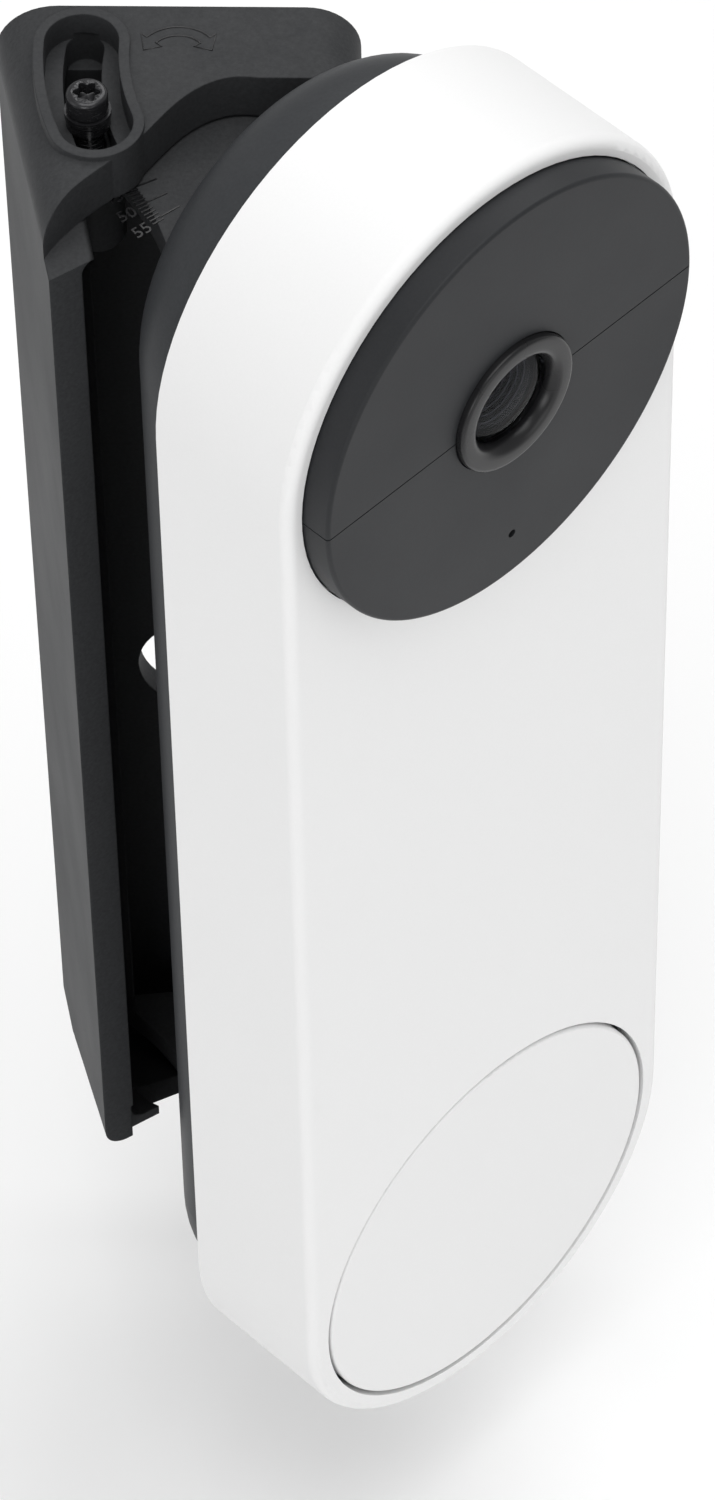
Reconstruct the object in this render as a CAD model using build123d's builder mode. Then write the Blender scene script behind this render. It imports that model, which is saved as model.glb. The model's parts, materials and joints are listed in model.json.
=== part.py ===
"""Battery video doorbell on an adjustable angle mount, in millimetres.

Row frame: the origin is the centre of the mount's wall face, +X runs to the right along the wall,
-Y points out of the wall towards the visitor and +Z is up. The doorbell's own frame is turned about Z:
its plan places are given as (across, depth), where depth is measured back from its front face.
"""
import os
from math import asin, cos, degrees, radians, sin

from build123d import *

os.makedirs("parts", exist_ok=True)

# ---- doorbell: driving sizes ----
bell_width = 46.0
bell_height = 160.0
bell_turn = 46.5            # angle between the wall and the doorbell's back, degrees
bell_centre = Vector(26.15, -31.5, -1.0)   # middle of the front face
front_depth = 15.0
back_depth = 21.3            # depth of the flat that bears on the mount
skirt_depth = 24.2           # depth of the rounded skirt around that flat
skirt_inset = 3.0            # step from the front housing's side to the rear housing's
skirt_round = 7.0
recess_inset = 7.2           # step from the front housing's side to the recess behind the doorbell
shell_wall = 1.8
front_wall = 2.2
edge_round = 1.0
seam_gap = 0.05             # clear space between pieces that bear on each other
cut_past = 0.5              # how far a cut runs past the surface it opens
body_gap = 0.3              # clear space between two bodies
fit_gap = 0.1               # clear space between pieces of one body

camera_up = 57.1            # height of the lens axis above the doorbell's middle
cover_radius = 21.15
cover_proud = 2.8
cover_seat = 1.0
lens_ring_radius = 6.5
mic_up = 40.8
mic_hole = 0.4

button_down = -57.0
button_hole = 21.0
button_radius = 20.6
button_travel = 0.6

# ---- mount: driving sizes ----
wall_half_width = 15.25
wall_top = 67.5
wall_bottom = -69.3
wall_straight = 5.0         # depth over which the base's underside runs level before it slopes up
rim_left = -9.45
rim_out = 27.0
rim_turn = 35.0             # the base's open face is parallel to the doorbell at its smallest angle
rim_bottom = -55.2
rim_floor = 1.7             # thickness of the base's underside at its open face
skirt_step = 1.7            # step in the underside, back from the open face
skirt_step_high = 9.0
base_wall = 2.9
wall_plate = 2.5
lid_under = 63.0            # underside of the base's lid
pivot = Vector(17.2, -5.2, 0.0)
pin_radius = 1.25
pin_bore = 1.3
knuckle_radius = 3.0
base_knuckles = (-35.0, 6.0, 47.0)      # heights of the knuckles' middles
bracket_knuckles = (-14.5, 26.5)
base_knuckle_half = 6.0
bracket_knuckle_half = 14.2
slot_reach = 24.85          # pivot to clamp screw
screw_angle = 194.4         # direction of the clamp screw from the pivot at rest, degrees
slot_width = 3.2
pocket_floor = 65.3
bracket_side = 2.0          # thickness of its curved side wall
bracket_front = back_depth + body_gap
bracket_wall = 3.0
bracket_bottom = -58.6
bracket_top = 62.7
bracket_reach = 27.2        # pivot to the bracket's rear corner
cable_hole = 6.0
cable_hole_down = -14.0
wall_screw_hole = 2.2
wall_screw_spacing = 96.0

# ---- frames ----
turn = radians(bell_turn)
bell_across = Vector(cos(turn), sin(turn), 0)
bell_out = Vector(sin(turn), -cos(turn), 0)
up = Vector(0, 0, 1)


def bell_point(across, depth, height):
    """Row-frame point of a place given in the doorbell's frame."""
    return bell_centre + bell_across * across - bell_out * depth + up * height


def bell_plane(depth):
    """Plane parallel to the front face: local x across, local y up, normal towards the visitor."""
    return Plane(origin=bell_point(0, depth, 0), x_dir=bell_across, z_dir=bell_out)


def bell_plan(row_height):
    """Level plane at a row-frame height: local x across, local y is depth behind the front face."""
    level = Vector(bell_centre.X, bell_centre.Y, row_height)
    return Plane(origin=level, x_dir=bell_across, z_dir=(0, 0, 1))


def bell_section(height):
    """Plane through the doorbell's middle line: local x across, local y towards the visitor."""
    return Plane(origin=bell_point(0, 0, height), x_dir=bell_across, z_dir=(0, 0, -1))


def bell_axis(across, height):
    """Axis that points out of the front face."""
    return Axis(bell_point(across, 0, height), bell_out)


def write(name, piece):
    """Label a finished piece and write its STEP file."""
    piece.part.label = name
    export_step(piece.part, f"parts/{name}.step")


outwards = Axis(bell_centre, bell_out)

# ======================= doorbell: casings =======================
inner_width = bell_width - 2 * shell_wall
inner_height = bell_height - 2 * shell_wall
boss_places = [(-15.0, 28.0), (15.0, 28.0), (-15.0, -30.0), (15.0, -30.0)]
boss_radius = 2.4
boss_bore = 0.95
boss_drop = 1.0             # bosses end this far below the front housing's edge
boss_bore_length = 8.0
cover_ledge = 4.0           # width of the seat under the camera cover
lip_inset = 5.2
lip_thick = 1.4

with BuildPart() as front_housing:
    with BuildSketch(bell_plane(0)):
        SlotOverall(bell_height, bell_width, rotation=90)
    extrude(amount=-front_depth)
    front_edges = front_housing.faces().sort_by(outwards)[-1].edges()
    fillet(front_edges, edge_round)
    with BuildSketch(bell_plane(front_depth)):
        SlotOverall(inner_height, inner_width, rotation=90)
    extrude(amount=front_depth - front_wall, mode=Mode.SUBTRACT)
    # lip that the rear housing's edge bears on
    with BuildSketch(bell_plane(front_depth)):
        SlotOverall(inner_height + fit_gap, inner_width + fit_gap, rotation=90)
        SlotOverall(bell_height - 2 * lip_inset, bell_width - 2 * lip_inset, rotation=90,
                mode=Mode.SUBTRACT)
    extrude(amount=lip_thick)
    with BuildSketch(bell_plane(front_wall)):
        with Locations(*boss_places):
            Circle(boss_radius)
    extrude(amount=-(front_depth - front_wall - boss_drop))
    with BuildSketch(bell_plane(front_depth)):
        with Locations(*boss_places):
            Circle(boss_bore)
    extrude(amount=boss_bore_length, mode=Mode.SUBTRACT)
    with BuildSketch(bell_plane(0)):
        with Locations((0, camera_up)):
            Circle(cover_radius + body_gap / 2)
    extrude(amount=-(cover_seat + fit_gap), mode=Mode.SUBTRACT)
    with BuildSketch(bell_plane(0)):
        with Locations((0, camera_up)):
            Circle(cover_radius - cover_ledge)
        with Locations((0, button_down)):
            Circle(button_hole)
    extrude(amount=-front_wall - cut_past, mode=Mode.SUBTRACT)
write("front_housing", front_housing)

hook_window = (6.0, 5.4)
hook_window_drop = 1.2       # windows sit lower than the hooks, so that the lips hold above them
hook_places = [(-7.5, -36.0), (7.5, -36.0)]
catch_window = (7.4, 6.5)
catch_window_up = 44.35
usb_place = (0.0, -62.0)
usb_window = (9.4, 3.7)
key_place = (9.5, -62.0)
key_radius = 1.5
terminal_places = [(-4.0, -22.0), (4.0, -22.0)]
terminal_window = 3.2
rear_start = front_depth + seam_gap
screw_clearance = 1.25
screw_counterbore = 2.0
counterbore_depth = 2.0
seal_inset = 3.8
seal_pocket = 1.2
cavity_inset = 4.8
hinge_notch = 128.0

with BuildPart() as rear_housing:
    with BuildSketch(bell_plane(rear_start)):
        SlotOverall(bell_height - 2 * skirt_inset, bell_width - 2 * skirt_inset, rotation=90)
    extrude(amount=-(skirt_depth - rear_start))
    back_edges = rear_housing.faces().sort_by(outwards)[0].edges()
    fillet(back_edges, skirt_round)
    with BuildSketch(bell_plane(skirt_depth)):
        SlotOverall(bell_height - 2 * recess_inset, bell_width - 2 * recess_inset, rotation=90)
    extrude(amount=skirt_depth - back_depth, mode=Mode.SUBTRACT)
    with BuildSketch(bell_plane(rear_start)):
        SlotOverall(bell_height - 2 * seal_inset, bell_width - 2 * seal_inset, rotation=90)
    extrude(amount=-seal_pocket, mode=Mode.SUBTRACT)
    with BuildSketch(bell_plane(rear_start + seal_pocket)):
        SlotOverall(bell_height - 2 * cavity_inset, bell_width - 2 * cavity_inset, rotation=90)
    extrude(amount=-(back_depth - rear_start - seal_pocket - shell_wall), mode=Mode.SUBTRACT)
    # notch in the skirt that clears the hinge
    with BuildSketch(Plane.XY.offset(bell_centre.Z - hinge_notch / 2)):
        with Locations((pivot.X, pivot.Y)):
            Circle(knuckle_radius + 2 * body_gap)
    extrude(amount=hinge_notch, mode=Mode.SUBTRACT)
    with BuildSketch(bell_plane(rear_start)):
        with Locations(*boss_places):
            Circle(boss_radius)
    extrude(amount=-(back_depth - front_depth - body_gap))
    with BuildSketch(bell_plane(back_depth)):
        with Locations(*[(across, height - hook_window_drop) for across, height in hook_places]):
            Rectangle(*hook_window)
        with Locations((0, catch_window_up)):
            Rectangle(*catch_window)
        with Locations(usb_place):
            SlotOverall(*usb_window)
        with Locations(key_place):
            Circle(key_radius + body_gap / 3)
        with Locations(*terminal_places):
            Circle(terminal_window)
    extrude(amount=shell_wall + cut_past, mode=Mode.SUBTRACT)
    with BuildSketch(bell_plane(back_depth)):
        with Locations(*boss_places):
            Circle(screw_clearance)
    extrude(amount=back_depth - front_depth + cut_past, mode=Mode.SUBTRACT)
    with BuildSketch(bell_plane(back_depth)):
        with Locations(*boss_places):
            Circle(screw_counterbore)
    extrude(amount=counterbore_depth, mode=Mode.SUBTRACT)
write("rear_housing", rear_housing)

with BuildPart() as housing_seal:
    with BuildSketch(bell_plane(front_depth)):
        SlotOverall(bell_height - 2 * seal_inset - 2 * fit_gap,
                bell_width - 2 * seal_inset - 2 * fit_gap, rotation=90)
        SlotOverall(bell_height - 2 * cavity_inset, bell_width - 2 * cavity_inset, rotation=90,
                mode=Mode.SUBTRACT)
    extrude(amount=-(seal_pocket - fit_gap))
write("housing_seal", housing_seal)

housing_head_radius = 1.85
housing_head_high = 1.4
housing_shank_radius = 0.9
housing_shank_length = 11.0
hex_radius = 0.8
hex_depth = 0.8

with BuildPart() as housing_screws:
    with BuildSketch(bell_plane(back_depth - body_gap)):
        with Locations(*boss_places):
            Circle(housing_head_radius)
    extrude(amount=housing_head_high)
    with BuildSketch(bell_plane(back_depth - housing_head_high)):
        with Locations(*boss_places):
            Circle(housing_shank_radius)
    extrude(amount=housing_shank_length)
    with BuildSketch(bell_plane(back_depth - body_gap)):
        with Locations(*boss_places):
            RegularPolygon(hex_radius, 6)
    extrude(amount=hex_depth, mode=Mode.SUBTRACT)
write("housing_screws", housing_screws)

# ======================= doorbell: camera =======================
seam_half = 0.06            # half of the seam between the cover's halves
cover_edge_round = 0.35
cover_rim = 2.2
cover_hub = 1.6
cover_face = 1.4
seam_rib = 1.2
mic_hole_depth = 2.0
beyond = 3 * cover_radius   # wide enough to cut away a whole half
cover_bore = lens_ring_radius + fit_gap

with BuildPart() as camera_cover_upper:
    with BuildSketch(bell_plane(cover_seat)):
        with Locations((0, camera_up)):
            Circle(cover_radius)
            Circle(cover_bore, mode=Mode.SUBTRACT)
        with Locations((0, camera_up - cover_radius + seam_half)):
            Rectangle(beyond, 2 * cover_radius, mode=Mode.SUBTRACT)
    extrude(amount=cover_seat + cover_proud)
    upper_face = camera_cover_upper.faces().sort_by(outwards)[-1]
    fillet(upper_face.edges().filter_by(GeomType.CIRCLE).sort_by(SortBy.RADIUS)[-1], cover_edge_round)
    with BuildSketch(bell_plane(cover_seat)):
        with Locations((0, camera_up)):
            Circle(cover_radius - cover_rim)
            Circle(cover_bore + cover_hub, mode=Mode.SUBTRACT)
        with Locations((0, camera_up - cover_radius + seam_rib)):
            Rectangle(beyond, 2 * cover_radius, mode=Mode.SUBTRACT)
    extrude(amount=cover_seat + cover_proud - cover_face, mode=Mode.SUBTRACT)
write("camera_cover_upper", camera_cover_upper)

with BuildPart() as camera_cover_lower:
    with BuildSketch(bell_plane(cover_seat)):
        with Locations((0, camera_up)):
            Circle(cover_radius)
            Circle(cover_bore, mode=Mode.SUBTRACT)
        with Locations((0, camera_up + cover_radius - seam_half)):
            Rectangle(beyond, 2 * cover_radius, mode=Mode.SUBTRACT)
    extrude(amount=cover_seat + cover_proud)
    lower_face = camera_cover_lower.faces().sort_by(outwards)[-1]
    fillet(lower_face.edges().filter_by(GeomType.CIRCLE).sort_by(SortBy.RADIUS)[-1], cover_edge_round)
    with BuildSketch(bell_plane(cover_seat)):
        with Locations((0, camera_up)):
            Circle(cover_radius - cover_rim)
            Circle(cover_bore + cover_hub, mode=Mode.SUBTRACT)
        with Locations((0, camera_up + cover_radius - seam_rib)):
            Rectangle(beyond, 2 * cover_radius, mode=Mode.SUBTRACT)
    extrude(amount=cover_seat + cover_proud - cover_face, mode=Mode.SUBTRACT)
    with BuildSketch(bell_plane(-cover_proud)):
        with Locations((0, mic_up)):
            Circle(mic_hole)
    extrude(amount=-mic_hole_depth, mode=Mode.SUBTRACT)
write("camera_cover_lower", camera_cover_lower)

camera_axis = bell_axis(0, camera_up)
ring_proud = cover_proud + 1.0
ring_chamfer = 0.5
ring_mouth = 4.6
ring_throat = 4.3           # bore beside the glass
ring_counterbore = 5.0      # bore that takes the baffle
ring_step = 1.7             # height of the shoulder between the two bores
ring_foot = -0.6

with BuildPart() as lens_ring:
    with BuildSketch(bell_section(camera_up)):
        with BuildLine():
            Polyline(
                (lens_ring_radius, ring_foot), (lens_ring_radius, ring_proud - ring_chamfer),
                (lens_ring_radius - ring_chamfer, ring_proud), (ring_mouth, ring_proud),
                (ring_throat, ring_proud - ring_chamfer), (ring_throat, ring_step),
                (ring_counterbore, ring_step), (ring_counterbore, ring_foot), (lens_ring_radius, ring_foot),
            )
        make_face()
    revolve(axis=camera_axis)
write("lens_ring", lens_ring)

glass_radius = 4.25
glass_edge = 2.6
glass_rise = 0.9
glass_thick = 0.7
dome_radius = (glass_radius**2 + glass_rise**2) / (2 * glass_rise)
dome_sweep = degrees(asin(glass_radius / dome_radius))

with BuildPart() as lens_glass:
    with BuildSketch(bell_section(camera_up)):
        with BuildLine():
            dome = CenterArc((0, glass_edge + glass_rise - dome_radius), dome_radius, 90 - dome_sweep,
                    dome_sweep)
            Polyline(dome @ 1, (0, glass_edge - glass_thick), (glass_radius, glass_edge - glass_thick),
                    dome @ 0)
        make_face()
    revolve(axis=camera_axis)
write("lens_glass", lens_glass)

baffle_radius = 4.9
baffle_bore = 1.55
baffle_foot = -0.4
barrel_radius = 4.6
barrel_flange = 5.6
barrel_shoulder = -4.0
barrel_end = -7.6

with BuildPart() as lens_baffle:
    with BuildSketch(bell_section(camera_up)):
        with BuildLine():
            Polyline((baffle_bore, baffle_foot), (baffle_radius, baffle_foot), (baffle_radius, 1.3),
                    (4.1, 1.6),
                     (3.9, 1.3), (baffle_bore, 0.3), (baffle_bore, baffle_foot))
        make_face()
    revolve(axis=camera_axis)
write("lens_baffle", lens_baffle)

with BuildPart() as lens_barrel:
    with BuildSketch(bell_section(camera_up)):
        with BuildLine():
            Polyline((0, ring_foot), (barrel_radius, ring_foot), (barrel_radius, barrel_shoulder),
                     (barrel_flange, barrel_shoulder), (barrel_flange, barrel_end), (0, barrel_end),
                     (0, ring_foot))
        make_face()
    revolve(axis=camera_axis)
write("lens_barrel", lens_barrel)

frame_radius = 18.5
frame_bore = 5.9
frame_thick = 2.0
frame_top = front_wall + 0.9
emitter_circle = 12.5
emitter_hole = 2.6
emitter_radius = 1.5
emitter_high = 2.6
emitter_tip = 0.9
cradle_outer = 17.0
cradle_inner = 14.6
cradle_high = 3.0

with BuildPart() as camera_frame:
    with BuildSketch(bell_plane(frame_top)):
        with Locations((0, camera_up)):
            Circle(frame_radius)
            Circle(frame_bore, mode=Mode.SUBTRACT)
            with PolarLocations(emitter_circle, 4, start_angle=45):
                Circle(emitter_hole, mode=Mode.SUBTRACT)
    extrude(amount=-frame_thick)
    with BuildSketch(bell_plane(frame_top + frame_thick)):
        with Locations((0, camera_up)):
            Rectangle(cradle_outer, cradle_outer)
            Rectangle(cradle_inner, cradle_inner, mode=Mode.SUBTRACT)
    extrude(amount=-cradle_high)
write("camera_frame", camera_frame)

camera_board_depth = 8.4
camera_board_size = (24.0, 20.0)
board_thick = 1.2
board_corner = 1.5
sensor_size = (8.6, 7.4)
sensor_high = 0.7

with BuildPart() as camera_board:
    with BuildSketch(bell_plane(camera_board_depth)):
        with Locations((0, camera_up)):
            RectangleRounded(*camera_board_size, board_corner)
    extrude(amount=-board_thick)
    with BuildSketch(bell_plane(camera_board_depth)):
        with Locations((0, camera_up)):
            Rectangle(*sensor_size)
    extrude(amount=sensor_high)
write("camera_board", camera_board)

with BuildPart() as infrared_emitters:
    with BuildSketch(bell_plane(frame_top - fit_gap)):
        with Locations((0, camera_up)):
            with PolarLocations(emitter_circle, 4, start_angle=45):
                Circle(emitter_radius)
    extrude(amount=emitter_high)
    emitter_tips = infrared_emitters.faces().filter_by(bell_plane(0)).sort_by(outwards)[-4:]
    fillet(emitter_tips.edges(), emitter_tip)
write("infrared_emitters", infrared_emitters)

sensor_depth = -0.9          # microphone and motion sensor stand in front of the housing, under the cover
microphone_size = (2.6, 3.4)
microphone_thick = 1.1
motion_up = 13.0            # motion sensor above the lens
motion_radius = 2.6
motion_thick = 2.4

with BuildPart() as microphone:
    with BuildSketch(bell_plane(sensor_depth)):
        with Locations((0, mic_up)):
            Rectangle(*microphone_size)
    extrude(amount=-microphone_thick)
write("microphone", microphone)

with BuildPart() as motion_sensor:
    with BuildSketch(bell_plane(sensor_depth)):
        with Locations((0, camera_up + motion_up)):
            Circle(motion_radius)
    extrude(amount=-motion_thick)
write("motion_sensor", motion_sensor)

# ======================= doorbell: button and light ring =======================
cap_thick = 1.9
stem_end = 5.4
cap_round = 0.3
stem_radius = 3.2
ring_outer = button_hole - 0.2
ring_inner = 17.6
light_ring_thick = 1.2
stem_hole = 3.8
button_frame_thick = 1.3

with BuildPart() as button_cap:
    with BuildSketch(bell_plane(0)):
        with Locations((0, button_down)):
            Circle(button_radius)
    extrude(amount=-cap_thick)
    fillet(button_cap.faces().sort_by(outwards)[-1].edges(), cap_round)
    with BuildSketch(bell_plane(cap_thick)):
        with Locations((0, button_down)):
            Circle(stem_radius)
    extrude(amount=-(stem_end - cap_thick))
write("button_cap", button_cap)

ring_depth = cap_thick + button_travel + body_gap

with BuildPart() as light_ring:
    with BuildSketch(bell_plane(ring_depth)):
        with Locations((0, button_down)):
            Circle(ring_outer)
            Circle(ring_inner, mode=Mode.SUBTRACT)
    extrude(amount=-light_ring_thick)
write("light_ring", light_ring)

frame_depth = ring_depth + light_ring_thick + seam_gap

with BuildPart() as button_frame:
    with BuildSketch(bell_plane(frame_depth)):
        with Locations((0, button_down)):
            Circle(ring_outer)
            Circle(stem_hole, mode=Mode.SUBTRACT)
    extrude(amount=-button_frame_thick)
write("button_frame", button_frame)

switch_depth = stem_end + button_travel + fit_gap
plunger_radius = 1.6
plunger_high = 0.6
switch_side = 6.2
switch_high = 1.5

with BuildPart() as button_switch:
    with BuildSketch(bell_plane(switch_depth)):
        with Locations((0, button_down)):
            Circle(plunger_radius)
    extrude(amount=-plunger_high)
    with BuildSketch(bell_plane(switch_depth + plunger_high)):
        with Locations((0, button_down)):
            Rectangle(switch_side, switch_side)
    extrude(amount=-switch_high)
write("button_switch", button_switch)

board_depth = switch_depth + plunger_high + switch_high + seam_gap
button_board_radius = 18.0
button_board_thick = 1.0
board_hole_circle = 15.0
board_hole = 1.1

with BuildPart() as button_board:
    with BuildSketch(bell_plane(board_depth)):
        with Locations((0, button_down)):
            Circle(button_board_radius)
            with PolarLocations(board_hole_circle, 4, start_angle=45):
                Circle(board_hole, mode=Mode.SUBTRACT)
    extrude(amount=-button_board_thick)
write("button_board", button_board)

speaker_depth = board_depth + button_board_thick + body_gap
speaker_place = (0, button_down + 7.0)
speaker_radius = 10.5
speaker_rim = 1.6
magnet_radius = 8.0
magnet_high = 3.2
cone_depth = 0.6
cone_slope = 30
speaker_seal_bore = 8.2
speaker_seal_thick = 1.2

with BuildPart() as loudspeaker:
    with BuildSketch(bell_plane(speaker_depth)):
        with Locations(speaker_place):
            Circle(speaker_radius)
    extrude(amount=-speaker_rim)
    with BuildSketch(bell_plane(speaker_depth + speaker_rim)):
        with Locations(speaker_place):
            Circle(magnet_radius)
    extrude(amount=-magnet_high)
    with BuildSketch(bell_plane(speaker_depth)):
        with Locations(speaker_place):
            Circle(magnet_radius)
    extrude(amount=-cone_depth, taper=cone_slope, mode=Mode.SUBTRACT)
write("loudspeaker", loudspeaker)

with BuildPart() as speaker_seal:
    with BuildSketch(bell_plane(speaker_depth + speaker_rim + seam_gap)):
        with Locations(speaker_place):
            Circle(speaker_radius)
            Circle(speaker_seal_bore, mode=Mode.SUBTRACT)
    extrude(amount=-speaker_seal_thick)
write("speaker_seal", speaker_seal)

# ======================= doorbell: power and electronics =======================
battery_size = (25.0, 56.0, 8.4)
battery_depth = 3.4
battery_corner = 3.0
battery_round = 0.8
pad_places = [(0, 16.0), (0, -16.0)]
pad_size = (20.0, 9.0)
pad_thick = 0.9

with BuildPart() as battery:
    with BuildSketch(bell_plane(battery_depth)):
        RectangleRounded(battery_size[0], battery_size[1], battery_corner)
    extrude(amount=-battery_size[2])
    battery_ends = battery.faces().filter_by(bell_plane(0))
    fillet(battery_ends.edges(), battery_round)
write("battery", battery)

with BuildPart() as battery_pad:
    with BuildSketch(bell_plane(battery_depth - seam_gap)):
        with Locations(*pad_places):
            Rectangle(*pad_size)
    extrude(amount=pad_thick)
write("battery_pad", battery_pad)

main_depth = battery_depth + battery_size[2] + 0.5
main_board_size = (25.0, 64.0)
chip_places = [(-6.0, 14.0), (6.0, 20.0), (5.0, -26.0)]
chip_side = 7.0
chip_high = 1.0
mounted = main_depth + board_thick + seam_gap   # depth at which pieces stand on the main board

with BuildPart() as main_board:
    with BuildSketch(bell_plane(main_depth)):
        RectangleRounded(*main_board_size, board_corner)
    extrude(amount=-board_thick)
    with BuildSketch(bell_plane(main_depth + board_thick)):
        with Locations(*chip_places):
            Rectangle(chip_side, chip_side)
    extrude(amount=-chip_high)
write("main_board", main_board)

can_place = (0, -2.0)
can_size = (20.0, 17.0)
can_high = 1.6
can_corner = 0.8

with BuildPart() as shield_can:
    with BuildSketch(bell_plane(mounted)):
        with Locations(can_place):
            Rectangle(*can_size)
    extrude(amount=-can_high)
    can_edges = shield_can.edges().filter_by(Axis(bell_centre, bell_out))
    fillet(can_edges, can_corner)
write("shield_can", shield_can)

plug_place = (-7.0, 27.0)
plug_size = (7.0, 4.0)
plug_mouth_place = (-7.0, 27.6)
plug_mouth = (5.4, 1.6)
plug_high = 2.2

with BuildPart() as battery_connector:
    with BuildSketch(bell_plane(mounted)):
        with Locations(plug_place):
            Rectangle(*plug_size)
        with Locations(plug_mouth_place):
            Rectangle(*plug_mouth, mode=Mode.SUBTRACT)
    extrude(amount=-plug_high)
write("battery_connector", battery_connector)

aerial_place = (0, 36.4)
aerial_size = (22.0, 6.0)
aerial_slot_place = (-3.0, 37.0)
aerial_slot = (14.0, 1.6)
aerial_thick = 0.6

with BuildPart() as aerial:
    with BuildSketch(bell_plane(main_depth)):
        with Locations(aerial_place):
            Rectangle(*aerial_size)
        with Locations(aerial_slot_place):
            Rectangle(*aerial_slot, mode=Mode.SUBTRACT)
    extrude(amount=-aerial_thick)
write("aerial", aerial)

block_face = back_depth - shell_wall - fit_gap
block_place = (0, -22.0)
block_size = (15.0, 7.6)
block_high = 2.9
thread_hole = 1.25
thread_depth = 2.4
terminal_head = 2.5
terminal_head_high = 1.2
terminal_shank = 1.15
terminal_shank_length = 2.2
cross_slot = (3.2, 0.7)
cross_depth = 0.7

with BuildPart() as terminal_block:
    with BuildSketch(bell_plane(block_face)):
        with Locations(block_place):
            Rectangle(*block_size)
    extrude(amount=block_high)
    with BuildSketch(bell_plane(block_face)):
        with Locations(*terminal_places):
            Circle(thread_hole)
    extrude(amount=thread_depth, mode=Mode.SUBTRACT)
write("terminal_block", terminal_block)

with BuildPart() as terminal_screws:
    with BuildSketch(bell_plane(back_depth - shell_wall)):
        with Locations(*terminal_places):
            Circle(terminal_head)
    extrude(amount=-terminal_head_high)
    with BuildSketch(bell_plane(back_depth - shell_wall)):
        with Locations(*terminal_places):
            Circle(terminal_shank)
    extrude(amount=terminal_shank_length)
    with BuildSketch(bell_plane(back_depth - shell_wall + terminal_head_high)):
        with Locations(*terminal_places):
            Rectangle(*cross_slot)
            Rectangle(*reversed(cross_slot))
    extrude(amount=cross_depth, mode=Mode.SUBTRACT)
write("terminal_screws", terminal_screws)

usb_outer = (8.9, 3.2)
usb_inner = (8.3, 2.6)
usb_face = back_depth - 2 * body_gap
usb_length = 5.0
usb_end = 0.8
usb_tongue = (6.6, 0.7)
usb_tongue_length = 4.0

with BuildPart() as usb_socket:
    with BuildSketch(bell_plane(usb_face)):
        with Locations(usb_place):
            SlotOverall(*usb_outer)
            SlotOverall(*usb_inner, mode=Mode.SUBTRACT)
    extrude(amount=usb_length)
    with BuildSketch(bell_plane(usb_face - usb_length + usb_end)):
        with Locations(usb_place):
            SlotOverall(*usb_outer)
    extrude(amount=usb_end)
    with BuildSketch(bell_plane(usb_face - 2 * body_gap)):
        with Locations(usb_place):
            Rectangle(*usb_tongue)
    extrude(amount=usb_tongue_length)
write("usb_socket", usb_socket)

key_travel = 0.4
key_length = 2.6
key_flange = 2.1
key_flange_high = 0.7
key_switch_side = 3.6
key_switch_high = 1.2

with BuildPart() as reset_key:
    with BuildSketch(bell_plane(back_depth - body_gap)):
        with Locations(key_place):
            Circle(key_radius)
    extrude(amount=key_length)
    with BuildSketch(bell_plane(back_depth - shell_wall - 0.45 - body_gap)):
        with Locations(key_place):
            Circle(key_flange)
    extrude(amount=key_flange_high)
write("reset_key", reset_key)

with BuildPart() as reset_switch:
    with BuildSketch(bell_plane(back_depth - shell_wall - key_switch_high - 2 * body_gap - key_travel)):
        with Locations(key_place):
            Rectangle(key_switch_side, key_switch_side)
    extrude(amount=key_switch_high)
write("reset_switch", reset_switch)

# ======================= mount: wall base =======================
rim_run = (wall_half_width - rim_left) / cos(radians(rim_turn))
rim_dir = Vector(cos(radians(rim_turn)), sin(radians(rim_turn)), 0)
rim_normal = Vector(sin(radians(rim_turn)), -cos(radians(rim_turn)), 0)


def corner_outline(left, right, bottom, top, radii):
    """Closed outline with its own corner radius at bottom left, bottom right, top right, top left."""
    corners = [(left, bottom), (right, bottom), (right, top), (left, top)]
    return FilletPolyline(*corners, radius=radii, close=True)


def wall_section(depth):
    """Plane parallel to the wall, depth millimetres out of it: local x to the right, local y up."""
    return Plane(origin=(0, -depth, 0), x_dir=(1, 0, 0), z_dir=(0, -1, 0))


def side_left(depth):
    """Left edge of the base's outline, depth millimetres out of the wall."""
    return -wall_half_width + (wall_half_width + rim_left) * depth / rim_out


def rim_section(proud):
    """Plane of the open face: local x runs from its left edge to the right and back, local y up."""
    corner = Vector(rim_left, -rim_out, 0) + rim_normal * proud
    return Plane(origin=corner, x_dir=rim_dir, z_dir=rim_normal)


def slot_arc(start, end):
    """Arc about the pivot between two directions, which the clamp screw follows."""
    return CenterArc((pivot.X, pivot.Y), slot_reach, start, end - start, mode=Mode.PRIVATE)


wall_corners = (4.0, 4.0, 4.5, 5.5)     # radii: bottom left, bottom right, top right, top left
rim_corners = (2.5, 2.0, 3.0, 3.0)
inside_corners = (3.0, 3.0, 1.0, 1.5)
inside_rim_corners = (1.2, 1.0, 1.0, 1.2)
band = base_wall - 0.2      # width of the open face's left edge
rim_overrun = 1.0           # how far the inside is cut past the open face
right_wall_top = -4.2       # the right wall ends here, so that the bracket can close over it
right_cut = (8.0, 12.0)
lid_edge = [(-10.4, -25.6), (-9.0, -22.8), (-6.3, -19.4), (-2.8, -15.7), (0.7, -10.8), (3.1, -8.8),
        (7.0, -8.2)]
lid_cut_right = 16.5
lid_cut_front = -30.0
shoulder_middle = (-23.4, 63.4)
shoulder_radius = 4.1
shoulder_cut = (-32.0, 70.0)
sweep_gap = 0.4             # clear space under the bracket
sweep_field = (80.0, 40.0)  # level area in front of the wall plate
pocket_span = (178.6, 200.6)            # directions from the pivot, degrees
slot_span = (174.6, 203.0)
pocket_outer = 8.0
pocket_inner = 6.2
pocket_rim = 0.5
knuckle_root = 4.6

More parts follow.
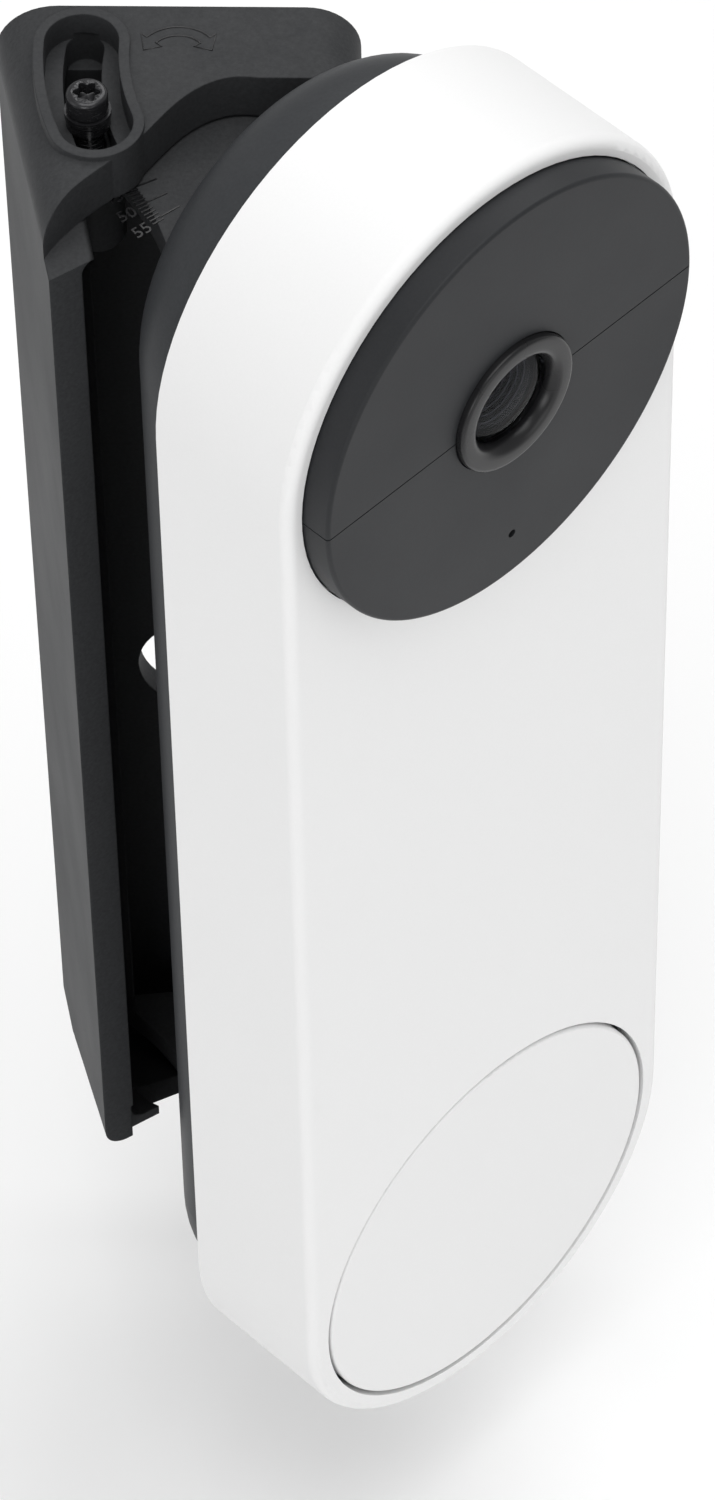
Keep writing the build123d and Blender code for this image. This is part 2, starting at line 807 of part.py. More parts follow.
with BuildPart() as wall_base:
    for depth in (0, wall_straight):
        with BuildSketch(wall_section(depth)):
            with BuildLine():
                corner_outline(side_left(depth), wall_half_width, wall_bottom, wall_top, wall_corners)
            make_face()
    with BuildSketch(rim_section(0)):
        with BuildLine():
            corner_outline(0, rim_run, rim_bottom, wall_top, rim_corners)
        make_face()
    loft(ruled=True)
    for depth in (wall_plate, wall_straight):
        with BuildSketch(wall_section(depth)):
            with BuildLine():
                corner_outline(side_left(depth) + base_wall, wall_half_width - wall_plate,
                               wall_bottom + base_wall, lid_under, inside_corners)
            make_face()
    with BuildSketch(rim_section(rim_overrun)):
        with BuildLine():
            corner_outline(band, rim_run - wall_plate, rim_bottom + rim_floor, lid_under,
                    inside_rim_corners)
        make_face()
    loft(ruled=True, mode=Mode.SUBTRACT)
    # right wall lowered, so that the bracket can close over it
    with BuildSketch(Plane.XY.offset(bracket_bottom - 2 * body_gap)):
        with Locations((wall_half_width, right_wall_top)):
            Rectangle(*right_cut, align=(Align.CENTER, Align.MAX))
    extrude(amount=lid_under - bracket_bottom + 2 * body_gap, mode=Mode.SUBTRACT)
    # curved front edge of the lid, which shows the dial below it
    with BuildSketch(Plane.XY.offset(lid_under)):
        with BuildLine():
            edge = Spline(*lid_edge)
            Polyline(edge @ 1, (lid_cut_right, lid_edge[-1][1]), (lid_cut_right, lid_cut_front),
                     (lid_edge[0][0], lid_cut_front), edge @ 0)
        make_face()
    extrude(amount=2 * (wall_top - lid_under), mode=Mode.SUBTRACT)
    # left end of the lid rounded over into the open face
    with BuildSketch(Plane.YZ.offset(-wall_half_width)):
        with BuildLine():
            shoulder = CenterArc(shoulder_middle, shoulder_radius, 90.0, 90.0)
            Polyline(shoulder @ 1, (shoulder_cut[0], shoulder_middle[1]), shoulder_cut,
                     (shoulder_middle[0], shoulder_cut[1]), shoulder @ 0)
        make_face()
    extrude(amount=2 * wall_half_width, mode=Mode.SUBTRACT)
    # underside cut back along the bracket's sweep
    with BuildSketch(Plane.XY.offset(bracket_bottom - sweep_gap)):
        with Locations((pivot.X, pivot.Y)):
            Circle(bracket_reach + body_gap)
        with Locations((0, -wall_plate - 2 * body_gap)):
            Rectangle(*sweep_field, align=(Align.CENTER, Align.MAX), mode=Mode.INTERSECT)
    extrude(amount=rim_bottom - bracket_bottom + 2 * base_wall, mode=Mode.SUBTRACT)
    # step in the underside that takes the doorbell's skirt at the smallest angle
    with BuildSketch(rim_section(0)):
        with Locations((base_wall, rim_bottom)):
            Rectangle(rim_run, skirt_step_high, align=(Align.MIN, Align.CENTER))
    extrude(amount=-skirt_step, mode=Mode.SUBTRACT)
    # raised pocket around the clamp screw and its slot
    with BuildSketch(Plane.XY.offset(lid_under)):
        SlotArc(slot_arc(*pocket_span), pocket_outer)
    extrude(amount=wall_top - lid_under + pocket_rim)
    with BuildSketch(Plane.XY.offset(pocket_floor)):
        SlotArc(slot_arc(*pocket_span), pocket_inner)
    extrude(amount=wall_top - lid_under, mode=Mode.SUBTRACT)
    with BuildSketch(Plane.XY.offset(lid_under - cut_past)):
        SlotArc(slot_arc(*slot_span), slot_width)
    extrude(amount=pocket_floor - lid_under + 2 * cut_past, mode=Mode.SUBTRACT)
    # hinge knuckles with their roots on the wall side
    for middle in base_knuckles:
        with BuildSketch(Plane.XY.offset(middle - base_knuckle_half)):
            with Locations((pivot.X, pivot.Y)):
                Circle(knuckle_radius)
            with Locations((pivot.X, pivot.Y)):
                Rectangle(knuckle_root, -pivot.Y, align=(Align.MAX, Align.MIN))
        extrude(amount=2 * base_knuckle_half)
    with BuildSketch(Plane.XY.offset(wall_bottom)):
        with Locations((pivot.X, pivot.Y)):
            Circle(pin_bore)
    extrude(amount=wall_top - wall_bottom, mode=Mode.SUBTRACT)
    # room for the bracket's knuckles beside the right wall
    for middle in bracket_knuckles:
        with BuildSketch(Plane.XY.offset(middle - bracket_knuckle_half - body_gap)):
            with Locations((pivot.X, pivot.Y)):
                Circle(knuckle_radius + body_gap)
        extrude(amount=2 * (bracket_knuckle_half + body_gap), mode=Mode.SUBTRACT)
    # holes through the wall plate
    with BuildSketch(wall_section(0)):
        with Locations((0, wall_screw_spacing / 2), (0, -wall_screw_spacing / 2)):
            Circle(wall_screw_hole)
        with Locations((0, cable_hole_down)):
            Circle(cable_hole)
    extrude(amount=wall_plate + cut_past, mode=Mode.SUBTRACT)
write("wall_base", wall_base)

# ======================= mount: swivel bracket =======================
rear_direction = 186.7      # direction of the bracket's rear corner from the pivot, degrees
pivot_across = (pivot - bell_centre).dot(bell_across)
pivot_depth = -(pivot - bell_centre).dot(bell_out)
rear_angle = radians(rear_direction - bell_turn)
rear_corner = (pivot_across + bracket_reach * cos(rear_angle),
        pivot_depth + bracket_reach * sin(rear_angle))
side_span = (bracket_reach**2 - (pivot_depth - bracket_front) ** 2) ** 0.5
side_corner = (pivot_across - side_span, bracket_front)
screw_spot = (
    pivot.X + slot_reach * cos(radians(screw_angle)),
    pivot.Y + slot_reach * sin(radians(screw_angle)),
)
lip_high = 0.9              # thickness of the lips on the hooks and the catch
hook_depth = back_depth - shell_wall - body_gap - lip_high
bracket_floor = 2.5
bracket_ceiling = 3.0
bracket_field = (60.0, 40.0)
pin_head_room = (53.0, 2.5)             # height of its floor and its depth
pin_bore_top = 54.5
boss_foot = 52.7
screw_boss_radius = 2.7
screw_boss_high = 8.0
insert_bore = 1.95
insert_bore_depth = 5.2
thread_clearance = 1.4
cable_window_place = (0, -19.0)
cable_window = (15.0, 20.0)
cable_window_corner = 3.0
nose_window_place = (0, 44.0)
nose_window = (6.6, 7.0)
hook_size = (4.6, 2.6)
hook_lip = (4.6, 4.4)
hook_lip_up = 0.9
rail_high = 16.0
rail_wide = 1.6
rail_offset = 1.1
rail_reach = 4.0
rail_lip_wide = 2.4
rail_lip_offset = 0.7
rail_lip_depth = 2.0
rail_lip_thick = 1.9
shelf_size = (8.0, 2.0)
pin_access = 1.2
catch_wide = 12.0
plate_inside = bracket_front + bracket_wall
spring_low = 26.0
spring_high = 36.0
catch_top = 50.0
nose_up = 43.5
pin_depth = 1.0             # the release pin stands this far behind the bracket's plate

with BuildPart() as swivel_bracket:
    with BuildSketch(bell_plan(bracket_bottom)):
        with BuildLine():
            Polyline(side_corner, (pivot_across, bracket_front), (pivot_across, pivot_depth), rear_corner)
            RadiusArc(rear_corner, side_corner, bracket_reach)
        make_face()
    extrude(amount=bracket_top - bracket_bottom)
    with BuildSketch(bell_plan(bracket_bottom + bracket_floor)):
        with Locations((pivot_across, pivot_depth)):
            Circle(bracket_reach - bracket_side)
        with Locations((pivot_across, plate_inside)):
            Rectangle(*bracket_field, align=(Align.CENTER, Align.MIN), mode=Mode.INTERSECT)
    extrude(amount=bracket_top - bracket_bottom - bracket_floor - bracket_ceiling, mode=Mode.SUBTRACT)
    # knuckles, and room for the base's knuckles
    for middle in bracket_knuckles:
        with BuildSketch(Plane.XY.offset(middle - bracket_knuckle_half)):
            with Locations((pivot.X, pivot.Y)):
                Circle(knuckle_radius)
        extrude(amount=2 * bracket_knuckle_half)
    for middle in base_knuckles:
        with BuildSketch(Plane.XY.offset(middle - base_knuckle_half - body_gap)):
            with Locations((pivot.X, pivot.Y)):
                Circle(knuckle_radius + body_gap)
        extrude(amount=2 * (base_knuckle_half + body_gap), mode=Mode.SUBTRACT)
    with BuildSketch(Plane.XY.offset(pin_head_room[0])):
        with Locations((pivot.X, pivot.Y)):
            Circle(knuckle_radius + body_gap)
    extrude(amount=pin_head_room[1], mode=Mode.SUBTRACT)
    with BuildSketch(Plane.XY.offset(bracket_bottom)):
        with Locations((pivot.X, pivot.Y)):
            Circle(pin_bore)
    extrude(amount=pin_bore_top - bracket_bottom, mode=Mode.SUBTRACT)
    # boss for the clamp screw
    with BuildSketch(Plane.XY.offset(boss_foot)):
        with Locations(screw_spot):
            Circle(screw_boss_radius)
    extrude(amount=screw_boss_high)
    with BuildSketch(Plane.XY.offset(boss_foot)):
        with Locations(screw_spot):
            Circle(insert_bore)
    extrude(amount=insert_bore_depth, mode=Mode.SUBTRACT)
    with BuildSketch(Plane.XY.offset(boss_foot)):
        with Locations(screw_spot):
            Circle(thread_clearance)
    extrude(amount=bracket_top - boss_foot + cut_past, mode=Mode.SUBTRACT)
    # openings in the front plate for the cable and the catch's nose
    with BuildSketch(bell_plane(bracket_front)):
        with Locations(cable_window_place):
            RectangleRounded(*cable_window, cable_window_corner)
        with Locations(nose_window_place):
            Rectangle(*nose_window)
    extrude(amount=-bracket_wall - cut_past, mode=Mode.SUBTRACT)
    # two hooks for the doorbell's windows
    with BuildSketch(bell_plane(bracket_front + cut_past)):
        with Locations(*hook_places):
            Rectangle(*hook_size)
    extrude(amount=bracket_front + cut_past - hook_depth)
    with BuildSketch(bell_plane(hook_depth + lip_high)):
        with Locations(*[(across, height + hook_lip_up) for across, height in hook_places]):
            Rectangle(*hook_lip)
    extrude(amount=lip_high)
    # rails that guide the release catch, and the shelf under its spring
    rail_across = catch_wide / 2 + rail_offset
    rail_lip_across = catch_wide / 2 + rail_lip_offset
    with BuildSketch(bell_plane(plate_inside - fit_gap)):
        with Locations((-rail_across, nose_window_place[1]), (rail_across, nose_window_place[1])):
            Rectangle(rail_wide, rail_high)
        with Locations((0, spring_low - bell_centre.Z - shelf_size[1] / 2)):
            Rectangle(*shelf_size)
    extrude(amount=-rail_reach)
    with BuildSketch(bell_plane(plate_inside + rail_lip_depth)):
        with Locations((-rail_lip_across, nose_window_place[1]), (rail_lip_across, nose_window_place[1])):
            Rectangle(rail_lip_wide, rail_high)
    extrude(amount=-rail_lip_thick)
    # access for the release pin
    with BuildSketch(bell_plan(bracket_top)):
        with Locations((0, plate_inside + pin_depth)):
            Circle(pin_access)
    extrude(amount=-bracket_ceiling - cut_past, mode=Mode.SUBTRACT)
write("swivel_bracket", swivel_bracket)

catch_thick = 1.4
nose_size = (5.8, 3.0)
nose_lip = (5.8, 5.8)
nose_lip_up = 1.4
release_pin_radius = 0.7
release_pin_length = 8.5

with BuildPart() as release_catch:
    with BuildSketch(bell_plane(plate_inside + body_gap)):
        with Locations((0, (spring_high + catch_top) / 2 - bell_centre.Z)):
            Rectangle(catch_wide - 2 * fit_gap, catch_top - spring_high)
    extrude(amount=-catch_thick)
    with BuildSketch(bell_plane(plate_inside + 2 * body_gap)):
        with Locations((0, nose_up - bell_centre.Z)):
            Rectangle(*nose_size)
    extrude(amount=plate_inside + 2 * body_gap - hook_depth)
    with BuildSketch(bell_plane(hook_depth + lip_high)):
        with Locations((0, nose_up - bell_centre.Z + nose_lip_up)):
            Rectangle(*nose_lip)
    extrude(amount=lip_high)
    with BuildSketch(bell_plan(catch_top - cut_past)):
        with Locations((0, plate_inside + pin_depth)):
            Circle(release_pin_radius)
    extrude(amount=release_pin_length)
write("release_catch", release_catch)

spring_depth = plate_inside + catch_thick
spring_mean = 1.0
spring_wire = 0.18
spring_turns = 6
spring_foot = bell_point(0, spring_depth, spring_low - bell_centre.Z + spring_wire)
spring_rise = spring_high - spring_low - 2 * spring_wire
spring_path = Pos(*spring_foot) * Helix(spring_rise / spring_turns, spring_rise, spring_mean)

with BuildPart() as catch_spring:
    with BuildSketch(Plane(origin=spring_path @ 0, z_dir=spring_path % 0)):
        Circle(spring_wire)
    sweep(path=spring_path, is_frenet=True)
write("catch_spring", catch_spring)

pin_low = -41.2
pin_head = 53.1
pin_head_radius = 2.2
pin_head_high = 1.2
pin_head_round = 0.5

with BuildPart() as hinge_pin:
    with BuildSketch(Plane.XY.offset(pin_low)):
        with Locations((pivot.X, pivot.Y)):
            Circle(pin_radius)
    extrude(amount=pin_head - pin_low + fit_gap)
    with BuildSketch(Plane.XY.offset(pin_head)):
        with Locations((pivot.X, pivot.Y)):
            Circle(pin_head_radius)
    extrude(amount=pin_head_high)
    fillet(hinge_pin.faces().sort_by(Axis.Z)[-1].edges(), pin_head_round)
write("hinge_pin", hinge_pin)

insert_radius = 1.93
collar_bore = 1.3           # bore of every collar around the clamp screw
insert_length = 5.0

with BuildPart() as thread_insert:
    with BuildSketch(Plane.XY.offset(boss_foot + fit_gap)):
        with Locations(screw_spot):
            Circle(insert_radius)
            Circle(collar_bore, mode=Mode.SUBTRACT)
    extrude(amount=insert_length)
write("thread_insert", thread_insert)

screw_top = 69.0
head_radius = 1.75
head_high = 2.0
head_round = 0.5
screw_foot = 53.2
screw_shank = 1.2
recess_middle = 0.62
recess_circle = 0.72
recess_lobe = 0.27
recess_depth = 1.1
washer_radius = 1.95
washer_thick = 0.6
sleeve_radius = 1.85
sleeve_round = 0.2

with BuildPart() as clamp_screw:
    with BuildSketch(Plane.XY.offset(screw_top - head_high)):
        with Locations(screw_spot):
            Circle(head_radius)
    extrude(amount=head_high)
    fillet(clamp_screw.faces().sort_by(Axis.Z)[-1].edges(), head_round)
    with BuildSketch(Plane.XY.offset(screw_foot)):
        with Locations(screw_spot):
            Circle(screw_shank)
    extrude(amount=screw_top - head_high / 2 - screw_foot)
    with BuildSketch(Plane.XY.offset(screw_top)):
        with Locations(screw_spot):
            Circle(recess_middle)
            with PolarLocations(recess_circle, 6):
                Circle(recess_lobe)
    extrude(amount=-recess_depth, mode=Mode.SUBTRACT)
write("clamp_screw", clamp_screw)

with BuildPart() as clamp_washer:
    with BuildSketch(Plane.XY.offset(screw_top - head_high - seam_gap - washer_thick)):
        with Locations(screw_spot):
            Circle(washer_radius)
            Circle(collar_bore, mode=Mode.SUBTRACT)
    extrude(amount=washer_thick)
write("clamp_washer", clamp_washer)

with BuildPart() as clamp_sleeve:
    with BuildSketch(Plane.XY.offset(pocket_floor + seam_gap)):
        with Locations(screw_spot):
            Circle(sleeve_radius)
            Circle(collar_bore, mode=Mode.SUBTRACT)
    extrude(amount=screw_top - head_high - washer_thick - pocket_floor - 3 * seam_gap)
    fillet(clamp_sleeve.faces().sort_by(Axis.Z)[-1].edges().sort_by(SortBy.RADIUS)[-1], sleeve_round)
write("clamp_sleeve", clamp_sleeve)
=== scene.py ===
"""Looks of a battery video doorbell on an adjustable angle mount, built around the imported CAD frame."""

import json
import logging
import math
from dataclasses import dataclass, field
from enum import Enum
from typing import Callable, Sequence

import bmesh
import bpy
from mathutils import Matrix, Vector


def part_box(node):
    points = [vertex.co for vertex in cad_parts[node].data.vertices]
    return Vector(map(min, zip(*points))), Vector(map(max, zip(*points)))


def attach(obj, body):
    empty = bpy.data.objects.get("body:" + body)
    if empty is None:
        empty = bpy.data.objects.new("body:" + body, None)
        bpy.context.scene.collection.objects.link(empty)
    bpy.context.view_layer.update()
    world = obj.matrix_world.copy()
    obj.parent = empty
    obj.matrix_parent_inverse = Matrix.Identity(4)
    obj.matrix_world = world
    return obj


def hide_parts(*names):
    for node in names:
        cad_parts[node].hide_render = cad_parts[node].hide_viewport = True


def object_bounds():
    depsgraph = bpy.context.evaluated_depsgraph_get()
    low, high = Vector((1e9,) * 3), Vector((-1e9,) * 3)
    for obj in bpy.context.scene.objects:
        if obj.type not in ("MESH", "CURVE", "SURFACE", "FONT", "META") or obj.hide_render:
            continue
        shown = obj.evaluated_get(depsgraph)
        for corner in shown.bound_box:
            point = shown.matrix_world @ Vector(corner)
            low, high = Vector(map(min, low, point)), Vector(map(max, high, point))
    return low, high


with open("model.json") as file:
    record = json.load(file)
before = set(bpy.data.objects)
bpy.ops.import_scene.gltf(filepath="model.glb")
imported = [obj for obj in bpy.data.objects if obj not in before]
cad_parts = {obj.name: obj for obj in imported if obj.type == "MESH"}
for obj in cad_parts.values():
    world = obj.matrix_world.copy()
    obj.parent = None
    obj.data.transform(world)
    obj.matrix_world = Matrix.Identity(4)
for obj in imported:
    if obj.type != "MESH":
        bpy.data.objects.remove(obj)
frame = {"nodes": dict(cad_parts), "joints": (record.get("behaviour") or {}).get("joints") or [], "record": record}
CAD_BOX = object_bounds()

LOG = logging.getLogger("doorbell")
MM = 0.001
UP = Vector((0.0, 0.0, 1.0))


class Body(str, Enum):
    """CAD bodies that pieces ride on."""

    BASE = "base"
    BELL = "bell"
    SCREW = "screw"


class Slot(str, Enum):
    """Material slots of the record."""

    WHITE = "white_shell"
    DARK = "dark_shell"
    MOUNT = "mount_plastic"
    COVER = "cover_plastic"
    RING = "ring_plastic"
    GLASS = "lens_glass"
    OPTICS = "optics_black"
    BUTTON = "button_plastic"
    DIFFUSER = "diffuser"
    BOARD = "board"
    TIN = "tin"
    COPPER = "copper"
    BRASS = "brass"
    STEEL = "steel"
    BLACK_STEEL = "black_steel"
    CELL = "cell_wrap"
    FOAM = "foam"
    INNER = "inner_plastic"
    RESIN = "emitter_resin"


# ---- frames


@dataclass(frozen=True)
class BellFrame:
    """The doorbell's own directions: across its face, inwards through it and up."""

    origin: Vector
    across: Vector
    inward: Vector

    @classmethod
    def from_record(cls, front_depth: float = 15.0 * MM) -> "BellFrame":
        """Reads the frame from the button's joint and the front housing's box.

        Args:
            front_depth: Depth of the front housing, in metres.

        Returns:
            The frame, with its origin in the middle of the front face.
        """
        press = next(j for j in frame["joints"] if j["name"] == "button_press")
        inward = Vector(press["axis"]).normalized()
        low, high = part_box("front_housing")
        origin = (low + high) / 2 - inward * front_depth / 2
        return cls(origin, inward.cross(UP).normalized(), inward)

    def matrix(self, height: float = 0.0) -> Matrix:
        """Matrix from (across, depth, up) to the row frame, raised by height metres."""
        start = self.origin + UP * height
        rows = [(self.across[i], self.inward[i], UP[i], start[i]) for i in range(3)]
        return Matrix((*rows, (0.0, 0.0, 0.0, 1.0)))

    def height_of(self, node: str) -> float:
        """Height of a CAD node's middle above this frame's origin, in metres."""
        low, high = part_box(node)
        return (low.z + high.z) / 2 - self.origin.z


# ---- shader nodes


class Graph:
    """Adds and links nodes in one shader or geometry tree."""

    def __init__(self, tree: bpy.types.NodeTree) -> None:
        """Keeps the tree that nodes are added to."""
        self.tree = tree

    def add(self, kind: str, settings: dict | None = None, **inputs: object) -> bpy.types.Node:
        """Adds a node.

        Args:
            kind: Node type name.
            settings: Node properties by name.
            inputs: Socket values or linked outputs, by socket name with _ for a space.

        Returns:
            The new node.
        """
        node = self.tree.nodes.new(kind)
        for key, value in (settings or {}).items():
            setattr(node, key, value)
        for key, value in inputs.items():
            self.put(node.inputs[key.replace("_", " ")], value)
        return node

    def put(self, socket: bpy.types.NodeSocket, value: object) -> None:
        """Links an output to a socket, or sets the socket's own value."""
        if isinstance(value, bpy.types.NodeSocket):
            self.tree.links.new(value, socket)
        else:
            socket.default_value = value

    def math(self, operation: str, first: object, second: object = 0.0) -> bpy.types.NodeSocket:
        """Adds a Math node and returns its result."""
        node = self.add("ShaderNodeMath", {"operation": operation})
        self.put(node.inputs[0], first)
        self.put(node.inputs[1], second)
        return node.outputs[0]

    def span(self, value: object, low: float, high: float,
             to_low: float, to_high: float) -> bpy.types.NodeSocket:
        """Maps a value from one range to another and returns the result."""
        node = self.add("ShaderNodeMapRange", Value=value, From_Min=low, From_Max=high,
                        To_Min=to_low, To_Max=to_high)
        return node.outputs["Result"]

    def mix(self, factor: object, first: object, second: object, blend: str = "MIX") -> bpy.types.NodeSocket:
        """Mixes two colours and returns the result."""
        node = self.add("ShaderNodeMix", {"data_type": "RGBA", "blend_type": blend})
        self.put(node.inputs[0], factor)
        self.put(node.inputs[6], first)
        self.put(node.inputs[7], second)
        return node.outputs[2]


def socket_group(name: str, inputs: Sequence[tuple], outputs: Sequence[tuple]) -> bpy.types.NodeTree:
    """Makes an empty shader group with named sockets.

    Args:
        name: Name of the group.
        inputs: Name, socket type and start value of each input.
        outputs: Name and socket type of each output.

    Returns:
        The group's tree.
    """
    tree = bpy.data.node_groups.new(name, "ShaderNodeTree")
    for label, kind, value in inputs:
        socket = tree.interface.new_socket(name=label, in_out="INPUT", socket_type=kind)
        socket.default_value = value
    for label, kind in outputs:
        tree.interface.new_socket(name=label, in_out="OUTPUT", socket_type=kind)
    return tree


FLOAT = "NodeSocketFloat"
COLOUR = "NodeSocketColor"
GREY = (0.5, 0.5, 0.5, 1.0)


def grain_group() -> bpy.types.NodeTree:
    """Moulded grain: broad cloudiness and fine spark-eroded texture."""
    tree = socket_group(
        "moulded_grain",
        [("Colour", COLOUR, GREY), ("Roughness", FLOAT, 0.5), ("Grain Size", FLOAT, 0.4 * MM),
         ("Mottling", FLOAT, 0.1), ("Speckle", FLOAT, 0.1)],
        [("Colour", COLOUR), ("Roughness", FLOAT), ("Height", FLOAT)],
    )
    g = Graph(tree)
    given = g.add("NodeGroupInput").outputs
    place = g.add("ShaderNodeTexCoord").outputs["Object"]
    scale = g.math("DIVIDE", 1.0, given["Grain Size"])
    fine = g.add("ShaderNodeTexNoise", Vector=place, Scale=scale, Detail=3.0, Roughness=0.6).outputs["Fac"]
    cells = g.add("ShaderNodeTexVoronoi", {"feature": "SMOOTH_F1"}, Vector=place,
                  Scale=g.math("MULTIPLY", scale, 1.7), Smoothness=0.5).outputs["Distance"]
    broad = g.add("ShaderNodeTexNoise", Vector=place, Scale=42.0, Detail=4.0, Roughness=0.55).outputs["Fac"]
    height = g.math("ADD", g.math("MULTIPLY", fine, 0.65), g.math("MULTIPLY", cells, 0.5))
    cloud = g.math("MULTIPLY", g.span(broad, 0.3, 0.7, -1.0, 1.0), given["Mottling"])
    spark = g.math("MULTIPLY", g.span(fine, 0.3, 0.7, -1.0, 1.0), given["Speckle"])
    shade = g.math("ADD", 1.0, g.math("ADD", cloud, spark))
    tint = g.add("ShaderNodeCombineColor", Red=shade, Green=shade, Blue=shade).outputs[0]
    colour = g.mix(1.0, given["Colour"], tint, "MULTIPLY")
    rough = g.math("ADD", given["Roughness"], g.math("MULTIPLY", g.span(broad, 0.3, 0.7, -1.0, 1.0), 0.05))
    g.add("NodeGroupOutput", Colour=colour, Roughness=rough, Height=height)
    return tree


def dust_group() -> bpy.types.NodeTree:
    """Fine dust that settles on surfaces that face up."""
    tree = socket_group(
        "settled_dust",
        [("Colour", COLOUR, GREY), ("Roughness", FLOAT, 0.5), ("Amount", FLOAT, 0.1)],
        [("Colour", COLOUR), ("Roughness", FLOAT)],
    )
    g = Graph(tree)
    given = g.add("NodeGroupInput").outputs
    place = g.add("ShaderNodeTexCoord").outputs["Object"]
    normal = g.add("ShaderNodeNewGeometry").outputs["Normal"]
    facing = g.add("ShaderNodeSeparateXYZ", Vector=normal).outputs["Z"]
    patches = g.add("ShaderNodeTexNoise", Vector=place, Scale=260.0, Detail=5.0, Roughness=0.7).outputs["Fac"]
    mask = g.math("MULTIPLY", g.span(facing, 0.4, 1.0, 0.0, 1.0), g.span(patches, 0.35, 0.8, 0.2, 1.0))
    mask = g.math("MULTIPLY", mask, given["Amount"])
    colour = g.mix(mask, given["Colour"], (0.36, 0.355, 0.345, 1.0))
    rough = g.math("ADD", given["Roughness"], g.math("MULTIPLY", mask, 0.3))
    g.add("NodeGroupOutput", Colour=colour, Roughness=rough)
    return tree


def scratch_group() -> bpy.types.NodeTree:
    """Fine handling marks that brighten a dark or metal finish."""
    tree = socket_group(
        "handling_marks",
        [("Colour", COLOUR, GREY), ("Bare Colour", COLOUR, GREY),
         ("Roughness", FLOAT, 0.3), ("Amount", FLOAT, 0.2)],
        [("Colour", COLOUR), ("Roughness", FLOAT), ("Height", FLOAT)],
    )
    g = Graph(tree)
    given = g.add("NodeGroupInput").outputs
    place = g.add("ShaderNodeTexCoord").outputs["Object"]
    stretched = g.add("ShaderNodeMapping", Vector=place, Scale=(1.0, 1.0, 9.0),
                      Rotation=(0.4, 0.2, 0.7)).outputs[0]
    lines = g.add("ShaderNodeTexNoise", Vector=stretched, Scale=1400.0, Detail=2.0,
                  Distortion=0.6).outputs["Fac"]
    mask = g.math("MULTIPLY", g.span(lines, 0.6, 0.72, 0.0, 1.0), given["Amount"])
    colour = g.mix(mask, given["Colour"], given["Bare Colour"])
    rough = g.math("ADD", given["Roughness"], g.math("MULTIPLY", mask, 0.2))
    g.add("NodeGroupOutput", Colour=colour, Roughness=rough, Height=lines)
    return tree


class Groups:
    """Shared shader groups, each built the first time it is asked for."""

    _made: dict[str, bpy.types.NodeTree] = {}
    _makers: dict[str, Callable[[], bpy.types.NodeTree]] = {
        "grain": grain_group, "dust": dust_group, "scratch": scratch_group}

    @classmethod
    def get(cls, name: str) -> bpy.types.NodeTree:
        """Returns the group of that name."""
        if name not in cls._made:
            cls._made[name] = cls._makers[name]()
        return cls._made[name]

    @classmethod
    def place(cls, g: Graph, name: str, **inputs: object) -> bpy.types.Node:
        """Adds the group to a material's graph with its own values."""
        return g.add("ShaderNodeGroup", {"node_tree": cls.get(name)}, **inputs)


# ---- finishes


def rgba(colour: Sequence[float]) -> tuple[float, float, float, float]:
    """Adds a full alpha to a colour."""
    return (colour[0], colour[1], colour[2], 1.0)


@dataclass(frozen=True)
class Finish:
    """A surface finish, which makes one material."""

    name: str
    colour: tuple[float, float, float]
    roughness: float = 0.5

    def build(self) -> bpy.types.Material:
        """Makes the material."""
        material = bpy.data.materials.new(self.name)
        material.use_nodes = True
        g = Graph(material.node_tree)
        shader = material.node_tree.nodes["Principled BSDF"]
        self.paint(g, shader)
        return material

    def paint(self, g: Graph, shader: bpy.types.Node) -> None:
        """Adds the finish's own nodes."""
        raise NotImplementedError


@dataclass(frozen=True)
class Moulded(Finish):
    """Injection-moulded plastic with grain and a little dust."""

    grain_size: float = 0.4 * MM
    grain_depth: float = 0.01 * MM
    mottling: float = 0.04
    speckle: float = 0.05
    dust: float = 0.0
    specular: float = 0.5
    coat: float = 0.0
    coat_roughness: float = 0.2
    edge: float = 0.0

    def paint(self, g: Graph, shader: bpy.types.Node) -> None:
        """Grain, dust and softened edges on a plain plastic shader."""
        grain = Groups.place(g, "grain", Colour=rgba(self.colour), Roughness=self.roughness,
                             Grain_Size=self.grain_size, Mottling=self.mottling, Speckle=self.speckle)
        colour, rough = grain.outputs["Colour"], grain.outputs["Roughness"]
        if self.dust > 0:
            dust = Groups.place(g, "dust", Colour=colour, Roughness=rough, Amount=self.dust)
            colour, rough = dust.outputs["Colour"], dust.outputs["Roughness"]
        bump = g.add("ShaderNodeBump", Height=grain.outputs["Height"], Distance=self.grain_depth,
                     Strength=1.0)
        if self.edge > 0:
            softened = g.add("ShaderNodeBevel", {"samples": 6}, Radius=self.edge).outputs[0]
            g.put(bump.inputs["Normal"], softened)
        g.put(shader.inputs["Base Color"], colour)
        g.put(shader.inputs["Roughness"], rough)
        g.put(shader.inputs["Normal"], bump.outputs[0])
        shader.inputs["Specular IOR Level"].default_value = self.specular
        shader.inputs["Coat Weight"].default_value = self.coat
        shader.inputs["Coat Roughness"].default_value = self.coat_roughness


@dataclass(frozen=True)
class Metal(Finish):
    """Bare, plated or blackened metal with handling marks."""

    bare: tuple[float, float, float] = (0.7, 0.7, 0.7)
    metallic: float = 1.0
    marks: float = 0.25
    mark_depth: float = 0.002 * MM

    def paint(self, g: Graph, shader: bpy.types.Node) -> None:
        """Handling marks on a metal shader."""
        marks = Groups.place(g, "scratch", Colour=rgba(self.colour), Bare_Colour=rgba(self.bare),
                             Roughness=self.roughness, Amount=self.marks)
        bump = g.add("ShaderNodeBump", Height=marks.outputs["Height"], Distance=self.mark_depth, Strength=0.6)
        g.put(shader.inputs["Base Color"], marks.outputs["Colour"])
        g.put(shader.inputs["Roughness"], marks.outputs["Roughness"])
        g.put(shader.inputs["Normal"], bump.outputs[0])
        shader.inputs["Metallic"].default_value = self.metallic


